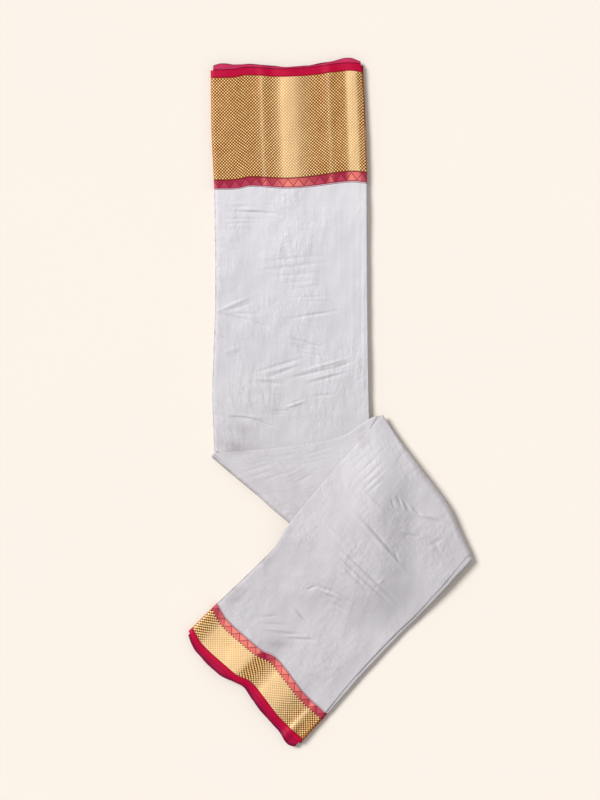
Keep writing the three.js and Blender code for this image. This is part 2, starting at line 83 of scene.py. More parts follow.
FIRST_FOLD_LINE = (-154.2, -69, 52.4, -226)
SECOND_FOLD_LINE = (65.6, -18.9, 181, -212.5)
UPPER_RIBS = np.array([
    (0, -156.8, 438.9, 44.9, 446.3),
    (80, -155.8, 358.9, 48.2, 366.3),
    (160, -152.2, 278.9, 50.2, 286.3),
    (302, -150.9, 136.9, 51.7, 77.4),
    (420, -154.6, 18.9, 54.8, -96),
    (UPPER_LENGTH, *FIRST_FOLD_LINE),
])
MIDDLE_RIBS = np.array([
    (0, *FIRST_FOLD_LINE),
    (102, -53.2, -57, 108, -219),
    (170, 14.1, -45, 146, -214),
    (208, 50.5, -22.5, 169.7, -213),
    (MIDDLE_LENGTH, *SECOND_FOLD_LINE),
])
LOWER_RIBS = np.array([
    (0, -187.6, -303.4, -38, -451),
    (60, -144.5, -261.3, 2.1, -406.3),
    (119, -101.4, -220.2, 39.4, -364.4),
    (163, -71.1, -188.8, 72.5, -328.4),
    (192, -56.3, -163.1, 88.8, -311.1),
    (258, -14.4, -112.1, 121.9, -278.8),
    (LOWER_LENGTH, *SECOND_FOLD_LINE),
])

# How far an end or a fold stands out from its straight line: share of the way across, out.
UPPER_END = np.array([(0, 0), (0.15, -0.6), (0.24, 2), (0.46, -2.1), (0.62, -1.7), (0.89, 2.6), (1, 0)])
LOWER_END = np.array([
    (0, -2), (0.12, 4), (0.34, 1.8), (0.42, 0), (0.5, -5.7), (0.62, -4), (0.8, 1.3), (1, 0),
])
FIRST_FOLD = np.array([(0, -3), (0.12, -1.8), (0.3, -1.4), (0.5, 1), (0.75, 0.5), (1, 0)])
SECOND_FOLD = np.array([(0, 4), (0.35, 2.5), (0.66, 11), (0.82, 8), (1, 5)])

# Where the shape of an end starts to die out and over what length, and over what length a fold's grows.
END_FADE = {"upper": (160, 120), "lower": (55, 80)}
FOLD_FADE = {"upper": 90, "middle": 90, "lower": 110}

# Where the fields stop under what lies on them. The upper one's station at each edge, and its bow
# between them. The middle one's share of the way across, its share of the stretch at the closed
# edge, and how that falls across the pack.
UPPER_FIELD_STOP = {"closed": UPPER_LENGTH - 4, "open": 386, "bow": 50}
MIDDLE_FIELD_STOP = {"across": 0.6, "closed": 0.97, "fall": 1.42}

# Where the closed edge of a stretch is pressed thin on what lies under it: how much of the thickness
# goes at the edge, and over what width. In the lower stretch it grows between two stations.
PRESSED = {"part": 0.84, "over": 80.0, "from": 130.0, "full": 215.0}
# And how much goes round the open end of the second fold, over what distance.
CORNER = {"x": SECOND_FOLD_LINE[2], "y": SECOND_FOLD_LINE[3], "part": 0.32, "over": 150.0}
MIDDLE_EDGE = MIDDLE_RIBS[:, 1:3]  # the closed edge that the middle stretch is pressed at

# How far a second selvage shows past the end of the top layer.
UPPER_UNDER_END = np.array([(0, 4), (0.07, 8), (0.26, 3.8), (0.76, 3), (0.9, 6.6), (1, 3)])
LOWER_UNDER_END = np.array([
    (0, 1.5), (0.08, 4.5), (0.2, 6.4), (0.32, 7), (0.42, 3), (0.5, 4.5), (0.6, 7.2), (0.74, 6), (0.86, 6.4),
    (0.94, 11), (1, 4),
])
THIN = 0.42  # how far the layers of a second selvage lie one below another
# The layers that a second selvage is made of, from the top: how far each lies down, how much
# further out it reaches, at what phase that wanders, and which tone it has: PINK, DEEP or PLUM.
# A tone is how much further out its weave counts its stations from.
# The plum tone is partly a darker tone and partly painted shade, as these layers lie under the others.
PINK, DEEP, PLUM = 0.0, 60.0, 30.0
UNDER_LAYERS = {
    "upper": ((0.0, 0.0, 0.0, PINK), (THIN, 1.1, 1.7, PLUM), (2 * THIN, 0.4, 4.0, PLUM)),
    "lower": ((0.0, -2.4, 0.9, DEEP), (THIN, 0.6, 2.7, PLUM), (2 * THIN, 0.2, 5.0, PLUM)),
}
UNDER_SHARES = np.array([0, 0.25, 0.5, 0.7, 0.82, 0.9, 0.95, 0.985, 1])  # places from tucked edge to hem
UNDER_DROPS = np.array([0, 0, 0, 0, 0.01, 0.03, 0.08, 0.16, 0.24])  # how far the hem rolls down there
UNDER_WANDER = ((0.5, 17, 1), (0.35, 41, 2))  # how its end wanders: size, turns across, times the phase
TUCK_SHIFT = (2.6, -1.35, 2.4, -0.75)  # its closed edge, against that of the layer that shows
TUCK_INSET = 3.5  # and its open edge

# How far the top layer's open edge is set in: station, inset.
UPPER_INSET = np.array([(0, 2.6), (70, 1.3), (150, 0.9), (230, 1.2), (330, 1.0), (420, 1.3), (508, 1.2)])
LOWER_INSET = np.array([(0, 2.2), (40, 2.4), (62, 4), (120, 5.6), (200, 5), (300, 5.4), (350, 7), (381, 8)])

# Ripples near each end: crest, half width (shares of the way across), height, how far they run.
UPPER_RIPPLES = [
    (0.12, 0.16, 1.2, 220),
    (0.345, 0.06, 1.4, 170),
    (0.51, 0.12, 2.2, 240),
    (0.775, 0.06, 1.4, 170),
    (0.93, 0.08, 1.6, 200),
]
LOWER_RIPPLES = [
    (0.36, 0.22, 4.2, 130),
    (0.68, 0.2, 3.8, 120),
    (0.895, 0.045, 2.4, 70),
]

# Painted highlight on the borders: share of the way across, how bright.
UPPER_PAINTED_HIGHLIGHT = np.array([
    (0, 0.3), (0.03, 0.05), (0.305, 0.1), (0.33, 0.7), (0.35, 0.15), (0.41, 0.3), (0.46, 0.9), (0.54, 0.85),
    (0.62, 0.35), (0.7, 0.08), (0.745, 0.1), (0.765, 0.6), (0.785, 0.1), (0.86, 0.05), (0.89, 0.9),
    (0.945, 0.9), (0.965, 0.2), (1, 0.1),
])
LOWER_PAINTED_HIGHLIGHT = np.array([
    (0, 0.2), (0.07, 0.3), (0.12, 0.9), (0.38, 1.0), (0.405, 0.8), (0.42, 0.1), (0.46, 0.0), (0.52, 0.5),
    (0.58, 0.95), (0.7, 0.9), (0.8, 0.5), (0.865, 0.3), (0.885, 0.95), (0.91, 0.35), (0.95, 0.15), (1, 0.2),
])

# Creases: both ends in plan, half width, height (a trough is negative).
UPPER_CREASES = [
    (-118, 252, -69, 250, 2.4, -1.4),
    (-124, 256, -88, 254, 2.6, 1.1),
    (-136, 243, -88, 242, 2.4, -0.6),
    (-137, 236, -96, 238, 2.6, -0.5),
    (-136, 262, -104, 263, 2.6, 0.5),
    (-92, 186, -6, 195, 3.2, -0.5),
    (-88, 175, 1, 186, 3.2, -0.6),
    (-78, 166, -10, 172, 3.0, -0.5),
    (-65, 157, -15, 162, 3.0, -0.4),
    (-60, 148, 0, 157, 3.0, -0.3),
    (-54, 138, 5, 141, 2.4, -0.5),
    (-38, 134, 0, 134, 2.2, -0.5),
    (-54, 111, 10, 121, 2.4, -1.2),
    (-150, 120, -103, 140, 2.8, 1.0),
    (-139, 120, -102, 132, 2.4, -0.8),
    (-134, 118, -89, 117, 2.4, -0.7),
    (-146, 118, -105, 108, 2.4, -1.8),
    (-104, 108, -78, 98, 2.4, -0.9),
    (42, 262, 42, -8, 1.8, -0.22),
    (45.5, 262, 46, -40, 1.6, 0.2),
    (31, 262, 31, 4, 2.4, 0.16),
    (14, 270, 14, 140, 2.2, 0.15),
    (24, 240, 24, 60, 2.0, -0.12),
    (-52, 85, -10, 73, 2.4, -1.7),
    (-49, 76, -18, 66, 2.2, -0.9),
    (-54, 81, -25, 77, 2.2, 0.7),
    (-39, 66, 0, 61, 2.4, -0.7),
    (-95, 41, -35, 59, 2.4, -1.1),
    (-88, 38, -38, 52, 2.4, 0.9),
    (-84, 32, -42, 48, 2.4, -0.8),
    (-55, 32, 8, 46, 2.6, -1.4),
    (8, 46, 30, 54, 2.4, -1.0),
    (-38, 41, 30, 60, 2.6, 1.0),
    (-38, 28, 28, 44, 2.6, 0.7),
    (-32, 24, 20, 39, 2.6, -0.7),
    (-98, 28, -60, 24, 2.4, -1.1),
    (-98, 32, -58, 31, 2.4, 1.0),
    (-25, 8, 8, 11, 3.4, -0.7),
    (-57, -6, -33, 2, 2.4, 1.9),
    (-52, -2, -35, 4, 2.0, -1.0),
    (-77, -11, -54, -11, 1.8, -1.0),
    (-77, -15, -56, -15, 1.8, -0.7),
    (-132, -19, -105, -21, 2.4, -2.0),
    (-105, -21, -73, -32, 2.4, -2.2),
    (-124, -16, -81, -21, 2.6, 0.8),
    (-141, 66, -112, 74, 5, 0.5),
    (-120, 8, -100, -4, 5, 0.5),
]
MIDDLE_CREASES = [
    (-32, -68, 6, -58, 2.2, -1.4),
    (-31, -74, 8, -65, 2.2, -0.7),
    (-39, -82, 1, -73, 2.4, -0.7),
    (-115, -92, -74, -80, 2.2, -1.5),
    (-110, -100, -76, -89, 2.4, -0.9),
    (-105, -84, -81, -74, 2.4, -0.8),
    (-89, -102, -62, -94, 2.6, -0.7),
    (-60, -98, -30, -84, 3, 0.6),
    (-48, -108, -20, -92, 3, -0.6),
]
LOWER_CREASES = [
    (33, -148, 102, -224, 9, 0.5),
    (33, -99, 72, -61, 2.6, -1.0),
    (38, -108, 75, -73, 2.6, -1.0),
    (43, -115, 75, -85, 2.6, -0.9),
    (27, -89, 56, -62, 2.6, -0.7),
    (48, -120, 72, -99, 2.6, -0.8),
    (30, -143, 100, -222, 2.6, 1.7),
    (35, -140, 93, -208, 2.4, -0.9),
    (39, -111, 66, -138, 2.6, 1.1),
    (80, -124, 86, -139, 2.6, -1.3),
    (88, -122, 97, -138, 2.6, -1.6),
    (96, -127, 107, -144, 2.6, -1.4),
    (92, -128, 100, -142, 2.4, 1.2),
    (77, -139, 91, -147, 2.4, -1.0),
    (108, -135, 122, -151, 2.4, -1.4),
    (122, -151, 149, -159, 2.4, -1.8),
    (112, -146, 146, -152, 2.6, 1.0),
    (96, -167, 109, -172, 2.4, 1.3),
    (94, -173, 118, -177, 2.4, -1.0),
    (10, -198, 83, -267, 2.6, -2.0),
    (17, -192, 86, -258, 2.4, -1.6),
    (13, -195, 84, -262, 1.8, 0.9),
    (10, -212, 43, -243, 2.4, 1.7),
    (60, -241, 72, -230, 2.2, 1.0),
    (56, -247, 67, -234, 2.2, -0.8),
    (-31, -247, -15, -241, 2.4, -1.0),
    (-17, -241, 9, -250, 2.2, -1.3),
    (9, -250, 38, -270, 2.4, -1.3),
    (-15, -246, 21, -259, 2.4, 1.2),
    (-6, -260, 27, -276, 2.6, -0.8),
    (-94, -283, -65, -281, 2.4, -0.9),
    (-89, -291, -52, -294, 2.4, -1.0),
    (-85, -302, -38, -308, 2.4, -1.0),
    (-89, -297, -39, -303, 2.4, 1.1),
    (-56, -307, -21, -310, 2.2, 1.8),
    (-58, -311, -20, -314, 2.2, -1.0),
    (-51, -272, -36, -285, 2.4, 1.2),
    (-46, -270, -28, -290, 2.4, -1.0),
    (-40, -350, -8, -364, 6, 0.9),
    (-76, -318, -54, -326, 7, -0.7),
    (-8, -156, 22, -186, 4, 0.6),
    (44, -166, 70, -196, 3, -0.7),
    (20, -110, 46, -136, 4, 0.5),
    (128, -190, 150, -178, 5, -0.8),
    (136, -178, 150, -206, 5, -0.9),
    (84, -190, 92, -214, 3, -0.7),
    (-14, -128, 4, -150, 3, 0.5),
    (-66, -236, -30, -262, 8, 0.6),
]

# Patches of painted shade on the silk: middle in plan, half sizes, how much painted shade.
PAINTED_SHADE_PATCHES = [
    (-124, -58, 38, 19, 0.28),
    (-114, -36, 18, 11, 0.2),
    (-112, -52, 50, 32, 0.12),
    (-130, -252, 28, 24, 0.3),
    (-90, -208, 38, 22, 0.15),
    (-72, -320, 34, 22, 0.22),
    (143, -191, 22, 28, 0.12),
    (-10, -254, 50, 28, 0.14),
    (92, -165, 44, 36, 0.06),
    (-40, -185, 50, 26, 0.1),
    (44, -44, 10, 20, 0.3),
    (-80, -100, 80, 50, 0.14),
]
RIM_SHADE = {"painted_shade_amount": 0.55, "over": 3.5}  # a closed edge that lies free has painted shade, over this width
FIRST_FOLD_PAINTED_SHADE = 0.7  # and painted shade on the underside of the first fold
UNDERSIDE_END = 0.8  # quarter turns after which that painted shade starts to go

# Slack that the cloth lies in everywhere: direction in degrees, length, phase, height.
SLACK = [
    (12, 47, 0.4, 0.16),
    (75, 63, 1.9, 0.2),
    (-38, 29, 2.6, 0.12),
    (50, 21, 0.7, 0.07),
    (-70, 88, 4.1, 0.25),
    (-12, 17, 3.3, 0.05),
    (84, 24, 5.2, 0.08),
]
CREASED = {"upper": 1.3, "middle": 1.3, "lower": 1.25}  # how much of the tables' heights there is
CREASE_REACH = 0.68  # a crease dies out at this share of its length each way from its middle
MIDDLE_SLACK = 0.6  # how much of the slack the middle stretch has
MIDDLE_CALM = 0.5  # share of its length at which it starts to lie flat, at the closed edge
COVER = {"from": 2, "over": 8}  # how the upper stretch flattens towards the middle one's edge

# Section of a layer that shows. Closed edge: outer side in from the edge and down, then inner side.
CLOSED_EDGE = np.array([
    (0, 3.2, 1.2, 3.2),
    (0.08, 2.7, 1.25, 2.85),
    (0.3, 2, 1.45, 2.4),
    (0.8, 1.35, 1.8, 1.95),
    (1.7, 0.75, 2.4, 1.6),
    (2.9, 0.3, 3.4, 1.38),
    (4.3, 0.07, 4.6, 1.24),
    (6, 0, 6, WALL),
])
OPEN_EDGE = np.array([
    (2.2, 0, 2.2, WALL),
    (1.2, 0.03, 1.2, WALL),
    (0.45, 0.14, 0.5, WALL),
    (0.1, 0.36, 0.2, 1.14),
    (0, 0.62, 0.08, 0.96),
])

# Edges of the hidden layers, a leaf at a time from the underside: set-in of the closed edge, of the
# open edge and of the ends, and how much and at what phase the leaf wanders.
LEAVES = np.array([
    (0.4, 0.5, 0.5, 0.25, 0.3),
    (0.1, 0.2, 0.1, 0.3, 1.9),
    (0.4, 0.5, 1.2, 0.35, 4.2),
    (0.3, 0.2, 0.9, 0.3, 0.9),
    (0.8, 0.6, 1.7, 0.35, 3.1),
    (1.0, 0.3, 1.5, 0.3, 5.6),
    (2.1, 0.5, 2.4, 0.3, 2.2),
    (2.4, 0.9, 2.6, 0.3, 4.9),
])
UPPER_LEDGE = 0.3  # how much further in the upper stretch's topmost leaf lies at the open edge
LEAF_PROFILE = ((-1.0, 1.5), (-0.7, 0.35), (0.0, 0.0), (0.7, 0.35), (0.94, 0.8))  # height in a leaf, set-in
LAST_LEAF_TUCK = 1.5  # how much further in the last leaf ends
LEAF_WANDER = ((1.0, 0.31, 1), (0.5, 0.83, 2))  # size, turns from station to station, times the phase
CLOSED_WANDER = 0.5  # how much of that the closed edge has
LEAST_INSET = 0.05
STACK_SHARES = np.linspace(0.05, 0.93, 17)  # ways across at which the hidden layers have corners
STACK_PAINTED_LIGHT = 0.1  # painted light on their edges: painted highlight on gold, painted shade on silk
STACK_END = 2.0  # station just inside an end
STACK_START = {"upper": 20, "lower": 18}  # where their even stations start under a border
STACK_BAND = {"upper": 151, "lower": 48}  # and one in the ornament band
ZONE_SLACK = 0.1  # a station that lies on a seam counts to what comes before it

# ---- Working the cloth out ----


def smooth(x):
    x = np.clip(x, 0, 1)
    return x * x * (3 - 2 * x)


def bell(x):
    return np.where(np.abs(x) < 1, np.cos(x * math.pi / 2) ** 2, 0)


def follow(rows, at):
    """A smooth curve through a table's rows: its other columns against its first."""
    at = np.asarray(at, float)
    keys, values = rows[:, 0], rows[:, 1:]
    last = len(keys) - 1
    k = np.clip(np.searchsorted(keys[1:], at, side="left"), 0, last - 1)
    before = np.maximum(np.arange(last + 1) - 1, 0)
    after = np.minimum(np.arange(last + 1) + 1, last)
    slopes = (values[after] - values[before]) / (keys[after] - keys[before])[:, None]
    span = (keys[k + 1] - keys[k])[..., None]
    s = (at - keys[k])[..., None] / span
    rise = s * s * (3 - 2 * s)
    return (
        values[k] * (1 - rise)
        + values[k + 1] * rise
        + slopes[k] * span * s * (1 - s) ** 2
        - slopes[k + 1] * span * s * s * (1 - s)
    )


def edge_line(rib, inside_point):
    """The start of a fold or an end, and the way out of the pack there."""
    a, b = np.array(rib[0:2], float), np.array(rib[2:4], float)
    along = (b - a) / np.linalg.norm(b - a)
    outward = np.array([along[1], -along[0]])
    if outward @ (np.array(inside_point) - a) > 0:
        outward = -outward
    return a, outward


UPPER_INSIDE = (-50, 200)
MIDDLE_INSIDE = (40, -130)
LOWER_INSIDE = (-20, -250)
UPPER_OUT = edge_line(UPPER_RIBS[0, 1:], UPPER_INSIDE)
LOWER_OUT = edge_line(LOWER_RIBS[0, 1:], LOWER_INSIDE)
FIRST_OUT = edge_line(FIRST_FOLD_LINE, UPPER_INSIDE)
SECOND_OUT = edge_line(SECOND_FOLD_LINE, LOWER_INSIDE)
FIRST_RADIUS = PACK + FIRST_FOLD_GAP / 2
SECOND_RADIUS = PACK + SECOND_FOLD_GAP / 2


def side_line(start, stop, side, inside_point):
    pick = slice(0, 2) if side == "a" else slice(2, 4)
    return (*edge_line((*start[pick], *stop[pick]), inside_point), 0.0)


UPPER_SIDES = [
    side_line(UPPER_RIBS[0, 1:], FIRST_FOLD_LINE, "a", UPPER_INSIDE),
    side_line(UPPER_RIBS[0, 1:], FIRST_FOLD_LINE, "b", UPPER_INSIDE),
    (*FIRST_OUT, FIRST_RADIUS),
]
MIDDLE_SIDES = [
    side_line(FIRST_FOLD_LINE, SECOND_FOLD_LINE, "b", MIDDLE_INSIDE),
    (*FIRST_OUT, FIRST_RADIUS),
    (*SECOND_OUT, SECOND_RADIUS),
]
# The middle stretch's closed edge, past which the upper stretch shows.
MIDDLE_COVER = [side_line(MIDDLE_RIBS[0, 1:], MIDDLE_RIBS[2, 1:], "a", MIDDLE_INSIDE)]


def outside(sides, plan):
    """How far places in plan lie outside a shape given by its straight sides."""
    return np.max([(plan - start) @ outward - reach for start, outward, reach in sides], axis=0)


def corner_press(plan):
    """Share of its thickness that the pack keeps near the second fold's end."""
    away = np.hypot(plan[..., 0] - CORNER["x"], plan[..., 1] - CORNER["y"])
    return 1 - CORNER["part"] * (1 - smooth(away / CORNER["over"]))


def middle_press(plan):
    """Share of its thickness that the middle stretch keeps at places in plan."""
    edge = np.interp(plan[..., 0], MIDDLE_EDGE[:, 0], MIDDLE_EDGE[:, 1])
    near_edge = 1 - smooth((edge - plan[..., 1]) / PRESSED["over"])
    return (1 - PRESSED["part"] * near_edge) * corner_press(plan)


def lower_press(station, across):
    """The same for the lower stretch, which is pressed only where it lies on the middle one."""
    on_cloth = smooth((station - PRESSED["from"]) / (PRESSED["full"] - PRESSED["from"]))
    near_edge = 1 - smooth(across * widths_of(LOWER_RIBS, np.array([LOWER_LENGTH]))[0] / PRESSED["over"])
    plan = in_plan(LOWER_RIBS, station, across)
    return (1 - PRESSED["part"] * on_cloth * near_edge) * corner_press(plan)


def middle_base(plan):
    past = outside(UPPER_SIDES, plan) - SETTLE["margin"]
    return (PACK + FIRST_FOLD_GAP) * (1 - smooth(past / SETTLE["over_one"]))


def lower_base(plan):
    past = outside(MIDDLE_SIDES, plan) - SETTLE["margin"]
    top = middle_base(plan) + PACK * middle_press(plan)
    return (top + SECOND_FOLD_GAP) * (1 - smooth(past / SETTLE["over_two"]))


def in_plan(ribs, station, across):
    rib = follow(ribs, station)
    share = across[..., None]
    return rib[..., 0:2] * (1 - share) + rib[..., 2:4] * share


def fade_out(stretch, station):
    start, over = END_FADE[stretch]
    return (1 - smooth((station - start) / over))[..., None]


def fade_in(stretch, station, length):
    over = FOLD_FADE[stretch]
    return smooth((station - length + over) / over)[..., None]


def upper_place(station, across, depth):
    end = follow(UPPER_END, across) * fade_out("upper", station)
    fold = follow(FIRST_FOLD, across) * fade_in("upper", station, UPPER_LENGTH)
    plan = in_plan(UPPER_RIBS, station, across) + UPPER_OUT[1] * end + FIRST_OUT[1] * fold
    return np.dstack([plan, depth])


def middle_place(station, across, depth):
    first = follow(FIRST_FOLD, across) * (1 - smooth(station / FOLD_FADE["middle"]))[..., None]
    second = follow(SECOND_FOLD, across) * fade_in("middle", station, MIDDLE_LENGTH)
    plan = in_plan(MIDDLE_RIBS, station, across) + FIRST_OUT[1] * first + SECOND_OUT[1] * second
    return np.dstack([plan, middle_base(plan) + (PACK - depth) * middle_press(plan)])


def lower_place(station, across, depth):
    end = follow(LOWER_END, across) * fade_out("lower", station)
    fold = follow(SECOND_FOLD, across) * fade_in("lower", station, LOWER_LENGTH)
    plan = in_plan(LOWER_RIBS, station, across) + LOWER_OUT[1] * end + SECOND_OUT[1] * fold
    return np.dstack([plan, lower_base(plan) + depth * lower_press(station, across)])


def turn(start, outward, radius, angle, gap):
    """Places on a fold that turns over start, angle from the underside."""
    out = (radius * np.sin(angle))[..., None] * outward
    height = start[..., 2] + gap / 2 - radius * np.cos(angle)
    return np.dstack([start[..., 0:2] + out, height])


def first_fold_place(angle, across, depth):
    start = upper_place(np.full(across.shape, UPPER_LENGTH), across, np.full(across.shape, PACK))
    thickness = 1 + (middle_press(start[..., 0:2]) - 1) * smooth(angle / math.pi)
    return turn(start, FIRST_OUT[1], (PACK - depth) * thickness + FIRST_FOLD_GAP / 2, angle, FIRST_FOLD_GAP)


def second_fold_place(angle, across, depth):
    start = middle_place(np.full(across.shape, MIDDLE_LENGTH), across, np.zeros(across.shape))
    before = middle_press(start[..., 0:2])
    after = lower_press(np.full(across.shape, LOWER_LENGTH), across)
    thickness = before + (after - before) * smooth(angle / math.pi)
    return turn(start, SECOND_OUT[1], depth * thickness + SECOND_FOLD_GAP / 2, angle, SECOND_FOLD_GAP)


def ripple_height(ripples, station, across):
    return sum(
        height * (1 - smooth(station / run)) * bell((across - crest) / half)
        for crest, half, height, run in ripples
    )


def crease_height(creases, plan):
    total = np.zeros(plan.shape[:-1])
    for x0, y0, x1, y1, half, height in creases:
        start = np.array([x0, y0])
        run = np.array([x1, y1]) - start
        reach = plan - start
        along = reach @ run / (run @ run)
        aside = (reach[..., 0] * run[1] - reach[..., 1] * run[0]) / np.linalg.norm(run)
        total += height * bell(aside / half) * bell((along - 0.5) / CREASE_REACH)
    return total


def slack_height(plan):
    total = np.zeros(plan.shape[:-1])
    for direction, length, phase, height in SLACK:
        turned = math.radians(direction)
        way = plan[..., 0] * math.cos(turned) + plan[..., 1] * math.sin(turned)
        total += height * np.sin(2 * math.pi * way / length + phase)
    return total


def painted_shade_at(plan):
    """How much painted shade the silk has at places in plan."""
    total = np.zeros(plan.shape[:-1])
    for x, y, half_x, half_y, amount in PAINTED_SHADE_PATCHES:
        away = np.hypot((plan[..., 0] - x) / half_x, (plan[..., 1] - y) / half_y)
        total += amount * bell(away)
    return np.clip(total, 0, 1)


def rim_painted_shade_at(across, width):
    """How much painted shade a closed edge has where it lies free."""
    return RIM_SHADE["painted_shade_amount"] * (1 - smooth(across * width / RIM_SHADE["over"]))


def upper_lift(station, across, plan):
    covered = smooth((outside(MIDDLE_COVER, plan) - COVER["from"]) / COVER["over"])
    loose = CREASED["upper"] * crease_height(UPPER_CREASES, plan) + slack_height(plan)
    return ripple_height(UPPER_RIPPLES, station, across) + loose * covered


def middle_lift(station, across, plan):
    covered = 1 - smooth((station - MIDDLE_CALM * MIDDLE_LENGTH * (1 - across)) / MIDDLE_LENGTH)
    loose = CREASED["middle"] * crease_height(MIDDLE_CREASES, plan) + MIDDLE_SLACK * slack_height(plan)
    return loose * covered


def lower_lift(station, across, plan):
    loose = CREASED["lower"] * crease_height(LOWER_CREASES, plan) + slack_height(plan)
    return ripple_height(LOWER_RIPPLES, station, across) + loose


# ---- Meshes ----


def lin(code):
    """An sRGB hex colour as linear red, green, blue and alpha."""
    parts = [(code >> shift & 255) / 255 for shift in (16, 8, 0)]
    return (*[c / 12.92 if c <= 0.04045 else ((c + 0.055) / 1.055) ** 2.4 for c in parts], 1.0)


def grid_faces(index):
    """Quads of a grid of corner numbers."""
    return np.stack([index[:-1, :-1], index[1:, :-1], index[1:, 1:], index[:-1, 1:]], -1).reshape(-1, 4)


def cloth_object(name, points, faces, uv, materials, face_material=None, wear_and_painted_light=None):
    """A smooth mesh piece. Points and uv are in millimetres, one row to a corner; the last argument
    is painted light: how much painted highlight gold has there, and how much painted shade silk has."""
    mesh = bpy.data.meshes.new(name)
    mesh.from_pydata((points * MM).tolist(), [], faces.tolist())
    mesh.uv_layers.new(name="cloth")
    corners = np.empty(len(mesh.loops), np.int32)
    mesh.loops.foreach_get("vertex_index", corners)
    mesh.uv_layers["cloth"].data.foreach_set("uv", (uv[corners] * MM).astype(np.float32).ravel())
    for material in materials:
        mesh.materials.append(material)
    if face_material is not None:
        mesh.polygons.foreach_set("material_index", face_material)
    mesh.polygons.foreach_set("use_smooth", np.ones(len(mesh.polygons), bool))
    if wear_and_painted_light is not None:
        mesh.attributes.new("wear_and_painted_light", "FLOAT", "POINT").data.foreach_set("value", wear_and_painted_light.astype(np.float32))
    mesh.update()
    piece = bpy.data.objects.new(name, mesh)
    bpy.context.scene.collection.objects.link(piece)
    return piece


def outward_faces(points, faces):
    """The same faces, turned if need be so that they point out of the closed shape."""
    a, b, c, d = (points[faces[:, k]] for k in range(4))
    volume = np.einsum("ij,ij->i", a, np.cross(b, c)).sum() + np.einsum("ij,ij->i", a, np.cross(c, d)).sum()
    return faces[:, ::-1] if volume < 0 else faces


def layer_object(name, outer, inner, uv, material, wear_and_painted_light=None):
    """A closed layer of cloth from its outer and inner side, each a grid of places."""
    rows, columns = outer.shape[:2]
    top = np.arange(rows * columns).reshape(rows, columns)
    under = top + rows * columns
    faces = np.concatenate([
        grid_faces(top),
        grid_faces(under)[:, ::-1],
        grid_faces(np.stack([under[:, 0], top[:, 0]], 1)),
        grid_faces(np.stack([top[:, -1], under[:, -1]], 1)),
        grid_faces(np.stack([top[0], under[0]], 1)),
        grid_faces(np.stack([under[-1], top[-1]], 1)),
    ])
    points = np.concatenate([outer.reshape(-1, 3), inner.reshape(-1, 3)])
    uvs = np.concatenate([uv.reshape(-1, 2)] * 2)
    both = None if wear_and_painted_light is None else np.concatenate([wear_and_painted_light.ravel()] * 2)
    return cloth_object(name, points, outward_faces(points, faces), uvs, [material], wear_and_painted_light=both)


def across_columns(widths, insets, steps, closed=CLOSED_EDGE):
    """Ways across the pack and drops, for the outer and the inner side of a layer."""
    widths, insets = widths[:, None], insets[:, None]
    sides = []
    for place, drop in ((0, 1), (2, 3)):
        rolled = closed[None, :, place] / widths
        free = 1 - (insets + OPEN_EDGE[None, :, place]) / widths
        share = np.linspace(0, 1, steps + 1)[None, 1:-1]
        between = rolled[:, -1:] * (1 - share) + free[:, :1] * share
        under = np.full(between.shape[1], 0.0 if place == 0 else WALL)
        drops = np.concatenate([closed[:, drop], under, OPEN_EDGE[:, drop]])
        sides.append((np.concatenate([rolled, between, free], 1), drops[None, :]))
    return sides


def widths_of(ribs, stations):
    rib = follow(ribs, stations)
    return np.linalg.norm(rib[:, 0:2] - rib[:, 2:4], axis=1)


def plan_of(place, station, across):
    """Where places on a stretch lie in plan."""
    return place(station, across, np.zeros(across.shape))[..., 0:2]


def top_layer(place, lift, station_at, sides):
    """Outer and inner grids of a layer on the pack's upper side."""
    grids = []
    for across, drop in sides:
        station = station_at(across)
        depth = PACK + lift(station, across, plan_of(place, station, across)) - drop
        grids.append(place(station, across, depth))
    return grids


def steps_for(length, step):
    return max(1, round(length / step))


def band_piece(name, stretch, start, stop, material):
    """A band of the top layer between two stations, seams kept clear."""
    ribs, place, lift, inset = STRETCHES[stretch]
    stations = np.linspace(start + SEAM / 2, stop - SEAM / 2, steps_for(stop - start, BORDER_STEP) + 1)
    widths = widths_of(ribs, stations)
    steps = steps_for(SPAN_ACROSS["border"], BORDER_STEP)
    sides = across_columns(widths, follow(inset, stations)[:, 0], steps)
    outer, inner = top_layer(place, lift, lambda a: np.broadcast_to(stations[:, None], a.shape), sides)
    uv = np.dstack([sides[0][0] * widths[:, None], np.broadcast_to(stations[:, None], sides[0][0].shape)])
    # Painted highlight across each band, given by share of the way across.
    table = PAINTED_HIGHLIGHTS[stretch]
    painted_highlight = np.interp(sides[0][0], table[:, 0], table[:, 1])
    return layer_object(name, outer, inner, uv, material, wear_and_painted_light=painted_highlight), outer, uv, painted_highlight


